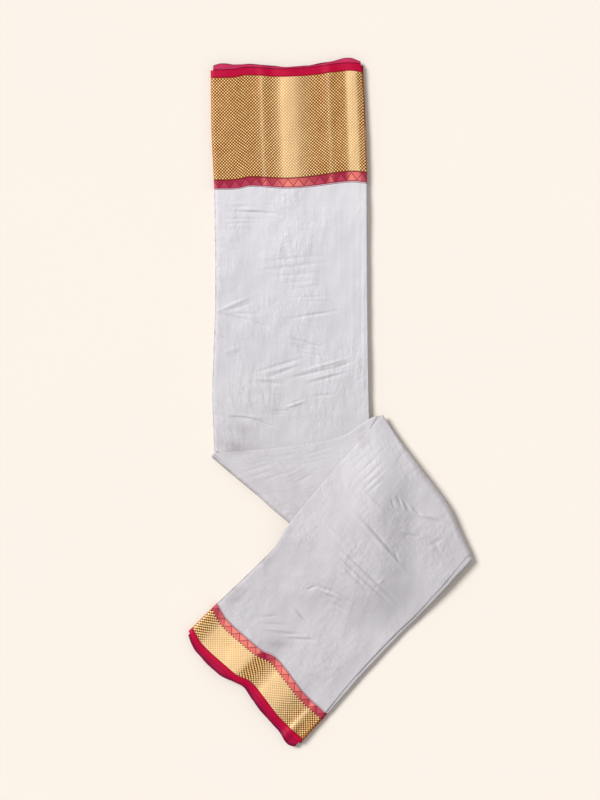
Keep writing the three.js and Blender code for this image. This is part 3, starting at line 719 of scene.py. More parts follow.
def under_selvage_piece(name, stretch, showing, material):
    """The next layers' selvages, a step down, whose ends reach out past the first."""
    ribs, place, lift, _ = STRETCHES[stretch]
    share = UNDER_SHARES[:, None]
    widths = np.full(len(share), widths_of(ribs, np.zeros(1))[0])
    tucked_edge = CLOSED_EDGE[3:] + np.array(TUCK_SHIFT)
    insets = np.full(len(share), TUCK_INSET)
    steps = steps_for(SPAN_ACROSS["border"], BORDER_STEP)
    sides = across_columns(widths, insets, steps, closed=tucked_edge)
    thin = (WALL - 2 * THIN) / WALL
    parts = []
    for lower_by, further, phase, tone in UNDER_LAYERS[stretch]:
        grids = []
        for number, (across, drop) in enumerate(sides):
            wander = sum(size * np.sin(turns * across + times * phase) for size, turns, times in UNDER_WANDER)
            out = follow(showing, across)[..., 0] + further + wander * (phase > 0)
            station = SELVAGE_TUCK * (1 - share) - out * share
            at_end = np.zeros(across.shape)
            lifted = lift(at_end, across, plan_of(place, at_end, across))
            more = WALL + SEAM + lower_by + (UNDER_DROPS[:, None] if number == 0 else 0)
            grids.append(place(station, across, PACK + lifted - np.maximum(drop, 0) * thin - more))
        across = sides[0][0]
        out = follow(showing, across)[..., 0] + further
        station = SELVAGE_TUCK * (1 - share) - out * share
        uv = np.dstack([across * widths[:, None], station - tone])
        parts.append(layer_object(name, grids[0], grids[1], uv, material))
    return joined(parts)


def joined(parts):
    """Several mesh pieces as one, named as the first."""
    with bpy.context.temp_override(active_object=parts[0], selected_editable_objects=parts):
        bpy.ops.object.join()
    return parts[0]


def upper_field_piece(name, material):
    """The upper stretch's silk, which stops a little way under the middle stretch."""
    start = sum(BROAD.values()) + SEAM
    rows = steps_for(SPAN_ALONG["upper"], FIELD_STEP)
    share = np.linspace(0, 1, rows + 1)[:, None]

    def station_at(across):
        stop = UPPER_FIELD_STOP["closed"] * (1 - across) + UPPER_FIELD_STOP["open"] * across
        stop = stop + UPPER_FIELD_STOP["bow"] * across * (1 - across)
        return start * (1 - share) + stop * share

    middle = station_at(np.full((rows + 1, 1), 0.5))[:, 0]
    widths = widths_of(UPPER_RIBS, middle)
    steps = steps_for(SPAN_ACROSS["upper"], FIELD_STEP)
    sides = across_columns(widths, follow(UPPER_INSET, middle)[:, 0], steps)
    outer, inner = top_layer(upper_place, upper_lift, station_at, sides)
    uv = np.dstack([sides[0][0] * widths[:, None], station_at(sides[0][0])])
    # Painted shade: the patches, and the closed edge where it lies free.
    painted_shade_amount = painted_shade_at(outer[..., 0:2]) + rim_painted_shade_at(sides[0][0], widths[:, None])
    return layer_object(name, outer, inner, uv, material, wear_and_painted_light=painted_shade_amount)


def middle_field_piece(name, material):
    """The middle stretch's silk, from under the first fold round it and in under the lower stretch."""
    width = widths_of(MIDDLE_RIBS, np.zeros(1))[0]
    steps = steps_for(SPAN_ACROSS["middle"], FIELD_STEP)
    angles = np.linspace(FOLD_START, math.pi, FOLD_STEPS)
    flat_rows = steps_for(SPAN_ALONG["middle"], FIELD_STEP)
    share = np.linspace(0, 1, flat_rows + 1)[1:, None]
    grids, uvs = [], []
    for place, drop in ((0, 1), (2, 3)):
        rolled = CLOSED_EDGE[:, place] / width
        flat_part = np.linspace(rolled[-1], MIDDLE_FIELD_STOP["across"], steps + 1)[1:]
        across = np.concatenate([rolled, flat_part])[None, :]
        drops = np.concatenate([CLOSED_EDGE[:, drop], np.full(steps, 0.0 if place == 0 else WALL)])[None, :]
        wrap_across = np.broadcast_to(across, (len(angles), across.shape[1]))
        turned = np.broadcast_to(angles[:, None], wrap_across.shape)
        at_fold = np.zeros(wrap_across.shape)
        fold_plan = plan_of(middle_place, at_fold, wrap_across)
        fold_lift = middle_lift(at_fold, wrap_across, fold_plan) * smooth(turned / math.pi)
        wrap = first_fold_place(turned, wrap_across, drops - fold_lift)
        flat_across = np.broadcast_to(across, (flat_rows, across.shape[1]))
        reach = MIDDLE_FIELD_STOP["closed"] - MIDDLE_FIELD_STOP["fall"] * flat_across
        station = share * MIDDLE_LENGTH * reach
        lifted = middle_lift(station, flat_across, plan_of(middle_place, station, flat_across))
        flat = middle_place(station, flat_across, drops - lifted)
        grids.append(np.concatenate([wrap, flat]))
        arc = (turned - math.pi) * FIRST_RADIUS
        all_across = np.concatenate([wrap_across, flat_across])
        uvs.append(np.dstack([all_across * width, np.concatenate([arc, station])]))
    # Painted shade on the underside of the first fold, and in the patches.
    under = np.concatenate([1 - smooth(2 * angles / math.pi - UNDERSIDE_END), np.zeros(flat_rows)])[:, None]
    painted_shade_amount = painted_shade_at(grids[0][..., 0:2]) + FIRST_FOLD_PAINTED_SHADE * under
    return layer_object(name, grids[0], grids[1], uvs[0], material, wear_and_painted_light=painted_shade_amount)


def lower_field_piece(name, material):
    """The lower stretch's silk, from the narrow border up and round the second fold."""
    start = sum(NARROW.values()) + SEAM
    stations = np.linspace(LOWER_LENGTH, start, steps_for(LOWER_LENGTH - start, FIELD_STEP) + 1)
    widths = widths_of(LOWER_RIBS, stations)
    insets = follow(LOWER_INSET, stations)[:, 0]
    steps = steps_for(SPAN_ACROSS["lower"], FIELD_STEP)
    sides = across_columns(widths, insets, steps)
    angles = np.linspace(FOLD_START, math.pi, FOLD_STEPS)[:-1]
    fold_sides = across_columns(np.full(len(angles), widths[0]), np.full(len(angles), insets[0]), steps)
    grids = []
    flat = top_layer(lower_place, lower_lift, lambda a: np.broadcast_to(stations[:, None], a.shape), sides)
    for side in (0, 1):
        across, drop = fold_sides[side]
        turned = np.broadcast_to(angles[:, None], across.shape)
        at_fold = np.full(across.shape, LOWER_LENGTH)
        lifted = lower_lift(at_fold, across, plan_of(lower_place, at_fold, across)) * smooth(turned / math.pi)
        grids.append(np.concatenate([second_fold_place(turned, across, PACK + lifted - drop), flat[side]]))
    arc = LOWER_LENGTH + (math.pi - angles) * SECOND_RADIUS
    all_stations = np.concatenate([arc, stations])[:, None]
    all_widths = np.concatenate([np.full(len(angles), widths[0]), widths])[:, None]
    all_across = np.concatenate([fold_sides[0][0], sides[0][0]])
    uv = np.dstack([all_across * all_widths, np.broadcast_to(all_stations, all_across.shape)])
    # Painted shade: the patches, and the closed edge where it lies free, before the stretch is pressed.
    free = 1 - smooth((all_stations - PRESSED["from"]) / (PRESSED["full"] - PRESSED["from"]))
    painted_shade_amount = painted_shade_at(grids[0][..., 0:2]) + free * rim_painted_shade_at(all_across, all_widths)
    return layer_object(name, grids[0], grids[1], uv, material, wear_and_painted_light=painted_shade_amount)


def leaf_rows():
    """The stack's edge section: rise through it, set-ins (closed, open, end), wander and phase."""
    rows = []
    half = 0.5 / len(LEAVES)
    for number, (closed, open_side, end, wander, phase) in enumerate(LEAVES):
        for height, set_in in LEAF_PROFILE:
            rise = (2 * number + 1 + height) * half
            rows.append((rise, closed + set_in, open_side + set_in, end + set_in, wander, phase))
    closed, open_side, end, wander, phase = LEAVES[-1]
    deep = LEAF_PROFILE[0][1] + LAST_LEAF_TUCK
    rows.append((1.0, closed + deep, open_side + deep, end + deep, wander, phase))
    return np.array(rows)


def stack_block(name, stations, materials, zones, end_out=None):
    """Hidden layers between stations, as one closed block whose edges are leaves. Zones gives each
    station's material, and end_out the way out of the pack if the first station is an end."""
    rows = leaf_rows()
    layers = len(rows)
    columns = len(STACK_SHARES) + 2
    grid = np.empty((len(stations), layers, columns, 3))
    for k, (laid, _, width, low, high, shown, ledge) in enumerate(stations):
        picked = rows.copy()
        picked[-len(LEAF_PROFILE):, 2] += ledge
        picked = picked if shown else picked[::-1]
        rise = picked[:, 0] if shown else 1 - picked[:, 0]
        waves = sum(size * np.sin(k * turns + times * picked[:, 5]) for size, turns, times in LEAF_WANDER)
        wander = picked[:, 4] * waves
        closed = np.maximum(picked[:, 1] + CLOSED_WANDER * wander, LEAST_INSET) / width
        open_side = 1 - np.maximum(picked[:, 2] + wander, LEAST_INSET) / width
        between = np.broadcast_to(STACK_SHARES, (layers, len(STACK_SHARES)))
        across = np.column_stack([closed, between, open_side])
        grid[k] = laid(across, np.broadcast_to((low + (high - low) * rise)[:, None], across.shape))
    if end_out is not None:
        grid[0, ..., 0:2] -= end_out * rows[:, 3][:, None, None]
    hull = np.zeros(grid.shape[:3], bool)
    for axis in range(3):
        for edge in (0, -1):
            hull[tuple(edge if a == axis else slice(None) for a in range(3))] = True
    corner = np.full(hull.shape, -1)
    corner[hull] = np.arange(hull.sum())
    sides = [
        corner[:, 0], corner[:, -1][:, ::-1], corner[:, :, 0][:, ::-1],
        corner[:, :, -1], corner[0][:, ::-1], corner[-1],
    ]
    faces = np.concatenate([grid_faces(side) for side in sides])
    station_of = np.broadcast_to(np.arange(len(stations))[:, None, None], hull.shape)[hull]
    points = grid[hull]
    face_zone = np.array(zones)[station_of[faces].max(1)].astype(np.int32)
    apart = np.linalg.norm(np.diff(grid[:, 0, 0], axis=0), axis=1)
    spread = np.concatenate([np.zeros(1), np.cumsum(apart)])
    widths = np.array([width for _, _, width, *_ in stations])
    share_of = np.broadcast_to(np.concatenate([[0], STACK_SHARES, [1]]), hull.shape)[hull]
    uv = np.column_stack([share_of * widths[station_of] + points[:, 2], spread[station_of]])
    # An even painted highlight or painted shade on the hidden layers' edges, by material.
    wear_and_painted_light = np.full(len(points), STACK_PAINTED_LIGHT)
    return cloth_object(name, points, outward_faces(points, faces), uv, materials, face_zone, wear_and_painted_light)


# ---- Nodes ----


def add(tree, kind, inputs=None, **settings):
    """A node with its settings. An input is a value, or the output socket that feeds it."""
    node = tree.nodes.new(kind)
    for key, value in settings.items():
        setattr(node, key, value)
    for key, value in (inputs or {}).items():
        if isinstance(value, bpy.types.NodeSocket):
            tree.links.new(value, node.inputs[key])
        else:
            node.inputs[key].default_value = value
    return node


def new_material(name, constants):
    """A node material: its tree, and its shader with its constants, linked to the output."""
    material = bpy.data.materials.new(name)
    material.use_nodes = True
    tree = material.node_tree
    tree.nodes.clear()
    shader = add(tree, "ShaderNodeBsdfPrincipled", constants)
    add(tree, "ShaderNodeOutputMaterial", {"Surface": shader.outputs["BSDF"]})
    return material, tree, shader


def silk_plain_weave():
    """Mulberry silk, hand-loomed in plain weave: a cool off-white with a soft sheen, whose threads
    swell into slubs along and across, and which handling has crinkled all over in folds of 6 to
    24 mm that mostly run with the threads. Threads are drawn at 1.1 mm, coarser than real, to show."""
    material, tree, shader = new_material("silk_plain_weave", {
        "Roughness": 0.55, "Sheen Weight": 0.1, "Sheen Roughness": 0.4,
    })
    cloth = add(tree, "ShaderNodeUVMap", uv_map="cloth").outputs["UV"]
    painted_shade = add(tree, "ShaderNodeAttribute", attribute_name="wear_and_painted_light").outputs["Fac"]
    # Threads with slubs about 40 mm long, along and across, then crinkles 6 to 7 mm wide and 24 mm
    # long both ways: how many to a metre, and detail.
    noises = []
    for scale, detail in (((900, 22, 1), 2.0), ((26, 900, 1), 2.0), ((150, 42, 1), 3.0), ((42, 170, 1), 3.0)):
        way = add(tree, "ShaderNodeMapping", {"Vector": cloth, "Scale": scale}).outputs[0]
        noise = add(tree, "ShaderNodeTexNoise", {"Vector": way, "Scale": 1.0, "Detail": detail})
        noises.append(noise.outputs[0])
    warp, weft, long_folds, cross_folds = noises
    threads = add(tree, "ShaderNodeMath", {0: warp, 1: weft}, operation="ADD").outputs[0]
    shade = add(tree, "ShaderNodeMapRange", {0: threads, 1: 0.7, 2: 1.3}).outputs[0]
    lighter_tone, darker_tone = (
        add(tree, "ShaderNodeMix", {0: shade, 6: lin(low), 7: lin(high)}, data_type="RGBA").outputs[2]
        for low, high in ((0xD6D3D9, 0xDCD9DF), (0xC5C1C5, 0xCAC6CA))
    )
    # Darker down the heap, from y 0.28 to -0.16 metres, and painted shade in streaks where the mesh asks for
    # it.
    spot = add(tree, "ShaderNodeTexCoord").outputs["Object"]
    parts = add(tree, "ShaderNodeSeparateXYZ", {0: spot})
    down_the_heap = add(tree, "ShaderNodeMapRange", {0: parts.outputs[1], 1: 0.28, 2: -0.16})
    tone = add(tree, "ShaderNodeMix", {0: down_the_heap.outputs[0], 6: lighter_tone, 7: darker_tone}, data_type="RGBA").outputs[2]
    streaks = add(tree, "ShaderNodeMapping", {"Vector": spot, "Scale": (26, 90, 1)})
    worn_and_painted_light = add(tree, "ShaderNodeTexNoise", {"Vector": streaks.outputs[0], "Scale": 1.0, "Detail": 3.0})
    uneven = add(tree, "ShaderNodeMapRange", {0: worn_and_painted_light.outputs[0], 1: 0.35, 2: 0.65, 3: 0.5, 4: 1.4})
    painted_shade_amount = add(tree, "ShaderNodeMath", {0: painted_shade, 1: uneven.outputs[0]}, operation="MULTIPLY")
    painted_shade_colour = add(tree, "ShaderNodeMix", {0: painted_shade_amount.outputs[0], 6: tone, 7: lin(0x8C8586)}, data_type="RGBA")
    tree.links.new(painted_shade_colour.outputs[2], shader.inputs["Base Color"])
    # The crinkles, with unordered ones of 11 mm, in patches about 70 mm across.
    wrinkle = add(tree, "ShaderNodeTexNoise", {
        "Vector": cloth, "Scale": 90.0, "Detail": 3.0, "Distortion": 0.4,
    })
    crossing = add(tree, "ShaderNodeMath", {0: long_folds, 1: cross_folds}, operation="ADD")
    crinkle = add(tree, "ShaderNodeMath", {
        0: wrinkle.outputs[0], 1: 1.8, 2: crossing.outputs[0],
    }, operation="MULTIPLY_ADD")
    patches = add(tree, "ShaderNodeTexNoise", {"Vector": cloth, "Scale": 14.0, "Detail": 1.0})
    where = add(tree, "ShaderNodeMapRange", {0: patches.outputs[0], 1: 0.35, 2: 0.65, 3: 0.15, 4: 1.0})
    amount = add(tree, "ShaderNodeMath", {0: crinkle.outputs[0], 1: where.outputs[0]}, operation="MULTIPLY")
    folds = add(tree, "ShaderNodeBump", {"Height": amount.outputs[0], "Strength": 0.6, "Distance": 0.0015})
    bump = add(tree, "ShaderNodeBump", {
        "Height": threads, "Normal": folds.outputs[0], "Strength": 0.18, "Distance": 0.0004,
    })
    tree.links.new(bump.outputs[0], shader.inputs["Normal"])
    return material


def zari_ground(name, start):
    """Zari, gilt wire wound on silk, woven in a lozenge ground: it glints between dark gaps, whose dark is
    partly the ground and partly painted shade. Where painted highlight falls the gaps are painted lighter,
    the gold is painted bright and its lozenges flatten. Lozenges repeat every 4.1 mm."""
    material, tree, shader = new_material(name, {
        "Metallic": 0.15, "Roughness": 0.42, "Specular IOR Level": 0.2,
    })
    cloth = add(tree, "ShaderNodeUVMap", uv_map="cloth").outputs["UV"]
    painted_highlight_share = add(tree, "ShaderNodeAttribute", attribute_name="wear_and_painted_light").outputs["Fac"]
    turns = 2 * math.pi / (PITCH * MM)
    lattice = add(tree, "ShaderNodeMapping", {
        "Vector": cloth, "Location": (0, -start * MM * turns, 0), "Scale": (turns, turns, turns),
    })
    parts = add(tree, "ShaderNodeSeparateXYZ", {0: lattice.outputs[0]})
    wave_u, wave_v = (
        add(tree, "ShaderNodeMath", {0: parts.outputs[k]}, operation="COSINE").outputs[0] for k in (0, 1)
    )
    both = add(tree, "ShaderNodeMath", {0: wave_u, 1: wave_v}, operation="MULTIPLY")
    raised = add(tree, "ShaderNodeMapRange", {0: both.outputs[0], 1: 0.3, 2: -0.3}).outputs[0]
    wear_and_painted_light = add(tree, "ShaderNodeTexNoise", {"Vector": cloth, "Scale": 60.0, "Detail": 3.0}).outputs[0]
    # How far painted highlight lightens the gaps.
    gap_painted_highlight = add(tree, "ShaderNodeMath", {0: painted_highlight_share, 1: 3.0}, operation="POWER").outputs[0]
    # Worn gold, and the gaps in it lightened by painted highlight; then the gold with painted highlight, and
    # both in the lozenges.
    worn_and_painted_light, gap = (
        add(tree, "ShaderNodeMix", {0: by, 6: lin(low), 7: lin(high)}, data_type="RGBA").outputs[2]
        for by, low, high in ((wear_and_painted_light, 0xC87018, 0xE08C30), (gap_painted_highlight, 0x6A2C00, 0xFFC890))
    )
    gold = add(tree, "ShaderNodeMix", {0: painted_highlight_share, 6: worn_and_painted_light, 7: lin(0xFFE2AE)}, data_type="RGBA").outputs[2]
    colour = add(tree, "ShaderNodeMix", {0: raised, 6: gap, 7: gold}, data_type="RGBA").outputs[2]
    tree.links.new(colour, shader.inputs["Base Color"])
    flatness = add(tree, "ShaderNodeMath", {0: 1.0, 1: painted_highlight_share}, operation="SUBTRACT")
    relief = add(tree, "ShaderNodeMath", {0: raised, 1: flatness.outputs[0]}, operation="MULTIPLY")
    bump = add(tree, "ShaderNodeBump", {"Height": relief.outputs[0], "Strength": 0.5, "Distance": 0.0003})
    tree.links.new(bump.outputs[0], shader.inputs["Normal"])
    return material


def zari_float():
    """Zari floats, where the gilt wire passes over the ground: brighter and smoother than it, and
    painted paler where painted highlight falls on them."""
    material, tree, shader = new_material("zari_float", {
        "Metallic": 0.15, "Roughness": 0.36, "Specular IOR Level": 0.25,
    })
    spot = add(tree, "ShaderNodeTexCoord").outputs["Object"]
    wear_and_painted_light = add(tree, "ShaderNodeTexNoise", {"Vector": spot, "Scale": 90.0, "Detail": 3.0}).outputs[0]
    painted_highlight_share = add(tree, "ShaderNodeAttribute", attribute_name="wear_and_painted_light").outputs["Fac"]
    gilt = add(tree, "ShaderNodeMix", {0: wear_and_painted_light, 6: lin(0xFACA78), 7: lin(0xFFDE9C)}, data_type="RGBA")
    colour = add(tree, "ShaderNodeMix", {0: painted_highlight_share, 6: gilt.outputs[2], 7: lin(0xFFE2A8)}, data_type="RGBA")
    tree.links.new(colour.outputs[2], shader.inputs["Base Color"])
    return material


def crimson_satin():
    """Crimson silk selvage in a dense satin: deep and even, with fine ribs across its length and a
    dark line at the hem, partly its edge and partly painted shadow where it lies over the next layer. The
    next layer's selvage is duller, pinker at the upper end and deep at the lower one, and the ones under it
    are plum, darker partly as painted shade."""
    material, tree, shader = new_material("crimson_satin_selvage", {
        "Roughness": 0.5, "Specular IOR Level": 0.12,
    })
    cloth = add(tree, "ShaderNodeUVMap", uv_map="cloth").outputs["UV"]
    ribs = add(tree, "ShaderNodeMapping", {"Vector": cloth, "Scale": (60, 1500, 1)}).outputs[0]
    rib = add(tree, "ShaderNodeTexNoise", {"Vector": ribs, "Scale": 1.0, "Detail": 2.0}).outputs[0]
    station = add(tree, "ShaderNodeSeparateXYZ", {0: cloth}).outputs[1]
    # From where it is the next layer's, then halfway between one tone and the next.
    is_second, is_plum, is_deep = (
        add(tree, "ShaderNodeMapRange", {0: station, 1: (at + soft) * MM, 2: (at - soft) * MM}).outputs[0]
        for at, soft in ((-1.5, 0.3), (-(PINK + PLUM) / 2, 0.1), (-(PLUM + DEEP) / 2, 0.1))
    )
    # A dark line at the hem: partly the hem's edge, partly painted shadow on the layer it lies over.
    from_hem = add(tree, "ShaderNodeMath", {0: station, 1: 0.0006}, operation="ADD").outputs[0]
    near_hem = add(tree, "ShaderNodeMath", {0: from_hem}, operation="ABSOLUTE").outputs[0]
    hem_and_painted_shadow = add(tree, "ShaderNodeMapRange", {0: near_hem, 1: 0.0004, 2: 0.0012, 3: 0.75, 4: 0.0}).outputs[0]
    colour, second, under = (
        add(tree, "ShaderNodeMix", {0: by, 6: lin(low), 7: lin(high)}, data_type="RGBA").outputs[2]
        for by, low, high in (
            (rib, 0xA80030, 0xCC0640), (rib, 0xB82050, 0xC83A66), (is_deep, 0x7C0C38, 0xA80A3C),
        )
    )
    for share, over in ((is_second, second), (hem_and_painted_shadow, lin(0x6E0424)), (is_plum, under)):
        colour = add(tree, "ShaderNodeMix", {0: share, 6: colour, 7: over}, data_type="RGBA").outputs[2]
    tree.links.new(colour, shader.inputs["Base Color"])
    bump = add(tree, "ShaderNodeBump", {"Height": rib, "Strength": 0.3, "Distance": 0.0003})
    tree.links.new(bump.outputs[0], shader.inputs["Normal"])
    return material


def ornament_weave(name, start, height):
    """A temple band: supplementary weft in crimson and pink, a zigzag of triangles 14 mm apart
    between two dark lines, with a pale line towards the field. It is painted pinker where painted highlight
    falls."""
    material, tree, shader = new_material(name, {"Roughness": 0.5, "Specular IOR Level": 0.2})
    cloth = add(tree, "ShaderNodeUVMap", uv_map="cloth").outputs["UV"]
    painted_highlight_share = add(tree, "ShaderNodeAttribute", attribute_name="wear_and_painted_light").outputs["Fac"]
    parts = add(tree, "ShaderNodeSeparateXYZ", {0: cloth})
    half = TRIANGLE_PITCH * MM / 2
    wave = add(tree, "ShaderNodeMath", {0: parts.outputs[0], 1: half}, operation="PINGPONG").outputs[0]
    # Heights from here on are shares of the band's, counted from the gold: a triangle's foot and
    # tip, the middle of the two dark lines and how far they lie from it, and the pale line.
    up = add(tree, "ShaderNodeMapRange", {
        0: parts.outputs[1], 1: start * MM, 2: (start + height) * MM,
    }, clamp=False).outputs[0]
    peak = add(tree, "ShaderNodeMapRange", {0: wave, 1: 0.0, 2: half, 3: 0.14, 4: 0.84}).outputs[0]
    gap = add(tree, "ShaderNodeMath", {0: up, 1: peak}, operation="SUBTRACT").outputs[0]
    near = add(tree, "ShaderNodeMath", {0: gap}, operation="ABSOLUTE").outputs[0]
    stroke = add(tree, "ShaderNodeMapRange", {0: near, 1: 0.04, 2: 0.09, 3: 0.8, 4: 0.0}).outputs[0]
    inside = add(tree, "ShaderNodeMapRange", {0: gap, 1: -0.04, 2: 0.04}).outputs[0]
    from_middle = add(tree, "ShaderNodeMath", {0: up, 1: 0.46}, operation="SUBTRACT").outputs[0]
    away = add(tree, "ShaderNodeMath", {0: from_middle}, operation="ABSOLUTE").outputs[0]
    rails = add(tree, "ShaderNodeMapRange", {0: away, 1: 0.36, 2: 0.39}).outputs[0]
    pale = add(tree, "ShaderNodeMapRange", {0: up, 1: 0.89, 2: 0.93}).outputs[0]
    grain = add(tree, "ShaderNodeTexNoise", {"Vector": cloth, "Scale": 500.0, "Detail": 2.0}).outputs[0]
    # Pink and crimson by grain; the ground, and the triangles between crimson and pink, by painted highlight.
    pink, crimson, colour = (
        add(tree, "ShaderNodeMix", {0: by, 6: lin(low), 7: lin(high)}, data_type="RGBA").outputs[2]
        for by, low, high in (
            (grain, 0xE8746C, 0xF89C88), (grain, 0xA41E48, 0xB83458), (painted_highlight_share, 0x980E38, 0xE8766C),
        )
    )
    bright = add(tree, "ShaderNodeMix", {0: painted_highlight_share, 6: crimson, 7: pink}, data_type="RGBA").outputs[2]
    for share, over in (
        (inside, bright), (stroke, lin(0x86082A)), (rails, lin(0x84082A)), (pale, lin(0xF4CCD8)),
    ):
        colour = add(tree, "ShaderNodeMix", {0: share, 6: colour, 7: over}, data_type="RGBA").outputs[2]
    tree.links.new(colour, shader.inputs["Base Color"])
    bump = add(tree, "ShaderNodeBump", {"Height": grain, "Strength": 0.3, "Distance": 0.0003})
    tree.links.new(bump.outputs[0], shader.inputs["Normal"])
    return material


def paper_sweep():
    """Matt cream studio paper, faintly mottled."""
    material, tree, shader = new_material("paper_sweep", {"Roughness": 0.9, "Specular IOR Level": 0.1})
    spot = add(tree, "ShaderNodeTexCoord").outputs["Object"]
    mottle = add(tree, "ShaderNodeTexNoise", {"Vector": spot, "Scale": 3.0, "Detail": 3.0}).outputs[0]
    colour = add(tree, "ShaderNodeMix", {0: mottle, 6: lin(0xF4ECE3), 7: lin(0xF6EDE3)}, data_type="RGBA")
    tree.links.new(colour.outputs[2], shader.inputs["Base Color"])
    return material


SILK = silk_plain_weave()
UPPER_ZARI = zari_ground("upper_zari_lozenge_weave", BROAD["selvage"])
LOWER_ZARI = zari_ground("lower_zari_lozenge_weave", NARROW["selvage"])
FLOAT = zari_float()
CRIMSON = crimson_satin()
UPPER_ORNAMENT = ornament_weave("upper_temple_band", BROAD["selvage"] + BROAD["gold"], BROAD["ornament"])
LOWER_ORNAMENT = ornament_weave("lower_temple_band", NARROW["selvage"] + NARROW["gold"], NARROW["ornament"])

# ---- Zari floats in a staggered lattice, by Geometry Nodes ----

FLOAT_INPUTS = (
    ("Band Start", "NodeSocketFloat", 0.0),
    ("Band Length", "NodeSocketFloat", 0.135),
    ("Band Width", "NodeSocketFloat", 0.2),
    ("Pitch", "NodeSocketFloat", PITCH * MM),
    ("Float Radius", "NodeSocketFloat", 0.00115),
    ("Float Height", "NodeSocketFloat", 0.0003),
    ("Size Spread", "NodeSocketFloat", 0.12),
    ("Seed", "NodeSocketInt", 11),
)


def float_tree():
    """Places a low dome at every crossing of a staggered lattice laid over the cloth's UV map."""
    tree = bpy.data.node_groups.new("zari_float_lattice", "GeometryNodeTree")
    face = tree.interface
    face.new_socket("Cloth", in_out="INPUT", socket_type="NodeSocketGeometry")
    for label, kind, value in FLOAT_INPUTS:
        face.new_socket(label, in_out="INPUT", socket_type=kind).default_value = value
    face.new_socket("Floats", in_out="OUTPUT", socket_type="NodeSocketGeometry")
    given = add(tree, "NodeGroupInput").outputs
    half = add(tree, "ShaderNodeMath", {0: given["Pitch"], 1: 2.0}, operation="DIVIDE").outputs[0]
    columns = add(tree, "ShaderNodeMath", {0: given["Band Width"], 1: given["Pitch"]}, operation="DIVIDE")
    lines = add(tree, "ShaderNodeMath", {0: given["Band Length"], 1: half}, operation="DIVIDE")
    column_count, line_count = (
        add(tree, "FunctionNodeFloatToInt", {0: count.outputs[0]}, rounding_mode="FLOOR").outputs[0]
        for count in (columns, lines)
    )
    lattice = add(tree, "GeometryNodeMeshGrid", {
        "Size X": 1.0, "Size Y": 1.0, "Vertices X": column_count, "Vertices Y": line_count,
    })
    number = add(tree, "GeometryNodeInputIndex").outputs[0]
    column_float = add(tree, "ShaderNodeMath", {0: number, 1: line_count}, operation="DIVIDE")
    column = add(tree, "ShaderNodeMath", {0: column_float.outputs[0]}, operation="FLOOR").outputs[0]
    line = add(tree, "ShaderNodeMath", {0: number, 1: line_count}, operation="MODULO").outputs[0]
    odd = add(tree, "ShaderNodeMath", {0: line, 1: 2.0}, operation="MODULO").outputs[0]
    stagger = add(tree, "ShaderNodeMath", {0: odd, 1: half}, operation="MULTIPLY").outputs[0]
    u = add(tree, "ShaderNodeMath", {0: column, 1: given["Pitch"], 2: stagger}, operation="MULTIPLY_ADD")
    v_from = add(tree, "ShaderNodeMath", {0: line, 1: half, 2: given["Band Start"]}, operation="MULTIPLY_ADD")
    v = add(tree, "ShaderNodeMath", {0: v_from.outputs[0], 1: half}, operation="ADD")
    spot = add(tree, "ShaderNodeCombineXYZ", {0: u.outputs[0], 1: v.outputs[0]}).outputs[0]
    on_map, stored, wear_and_painted_light = (
        add(tree, "GeometryNodeInputNamedAttribute", {"Name": name}, data_type=kind).outputs[0]
        for name, kind in (("cloth", "FLOAT_VECTOR"), ("facing", "FLOAT_VECTOR"), ("wear_and_painted_light", "FLOAT"))
    )
    place = add(tree, "GeometryNodeInputPosition").outputs[0]
    normal = add(tree, "GeometryNodeInputNormal").outputs[0]
    sampled, facing, worn_and_painted_light = (
        add(tree, "GeometryNodeSampleUVSurface", {
            "Mesh": given["Cloth"], "Value": value, "Source UV Map": on_map, "Sample UV": spot,
        }, data_type=kind)
        for value, kind in ((place, "FLOAT_VECTOR"), (normal, "FLOAT_VECTOR"), (wear_and_painted_light, "FLOAT"))
    )
    points = add(tree, "GeometryNodeMeshToPoints", {
        "Mesh": lattice.outputs["Mesh"], "Position": sampled.outputs[0],
    }).outputs[0]
    # The floats keep the cloth's facing and its painted highlight.
    for name, value, kind in (("facing", facing, "FLOAT_VECTOR"), ("wear_and_painted_light", worn_and_painted_light, "FLOAT")):
        points = add(tree, "GeometryNodeStoreNamedAttribute", {
            "Geometry": points, "Name": name, "Value": value.outputs[0],
        }, data_type=kind).outputs[0]
    off = add(tree, "FunctionNodeBooleanMath", {0: sampled.outputs["Is Valid"]}, operation="NOT").outputs[0]
    dropped = add(tree, "GeometryNodeDeleteGeometry", {"Geometry": points, "Selection": off})
    dome = add(tree, "GeometryNodeMeshCone", {
        "Vertices": FLOAT_SIDES,
        "Side Segments": 2,
        "Radius Top": FLOAT_TIP * MM,
        "Radius Bottom": given["Float Radius"],
        "Depth": given["Float Height"],
    })
    soft_dome = add(tree, "GeometryNodeSetShadeSmooth", {"Geometry": dome.outputs["Mesh"]})
    upright = add(tree, "FunctionNodeAlignRotationToVector", {"Vector": stored}, axis="Z").outputs[0]
    small, large = (
        add(tree, "ShaderNodeMath", {0: 1.0, 1: given["Size Spread"]}, operation=kind).outputs[0]
        for kind in ("SUBTRACT", "ADD")
    )
    size = add(tree, "FunctionNodeRandomValue", {
        2: small, 3: large, "Seed": given["Seed"],
    }, data_type="FLOAT")
    placed = add(tree, "GeometryNodeInstanceOnPoints", {
        "Points": dropped.outputs[0],
        "Instance": soft_dome.outputs[0],
        "Rotation": upright,
        "Scale": size.outputs[1],
    })
    real = add(tree, "GeometryNodeRealizeInstances", {0: placed.outputs[0]})
    finished = add(tree, "GeometryNodeSetMaterial", {"Geometry": real.outputs[0], "Material": FLOAT})
    add(tree, "NodeGroupOutput", {0: finished.outputs[0]})
    return tree


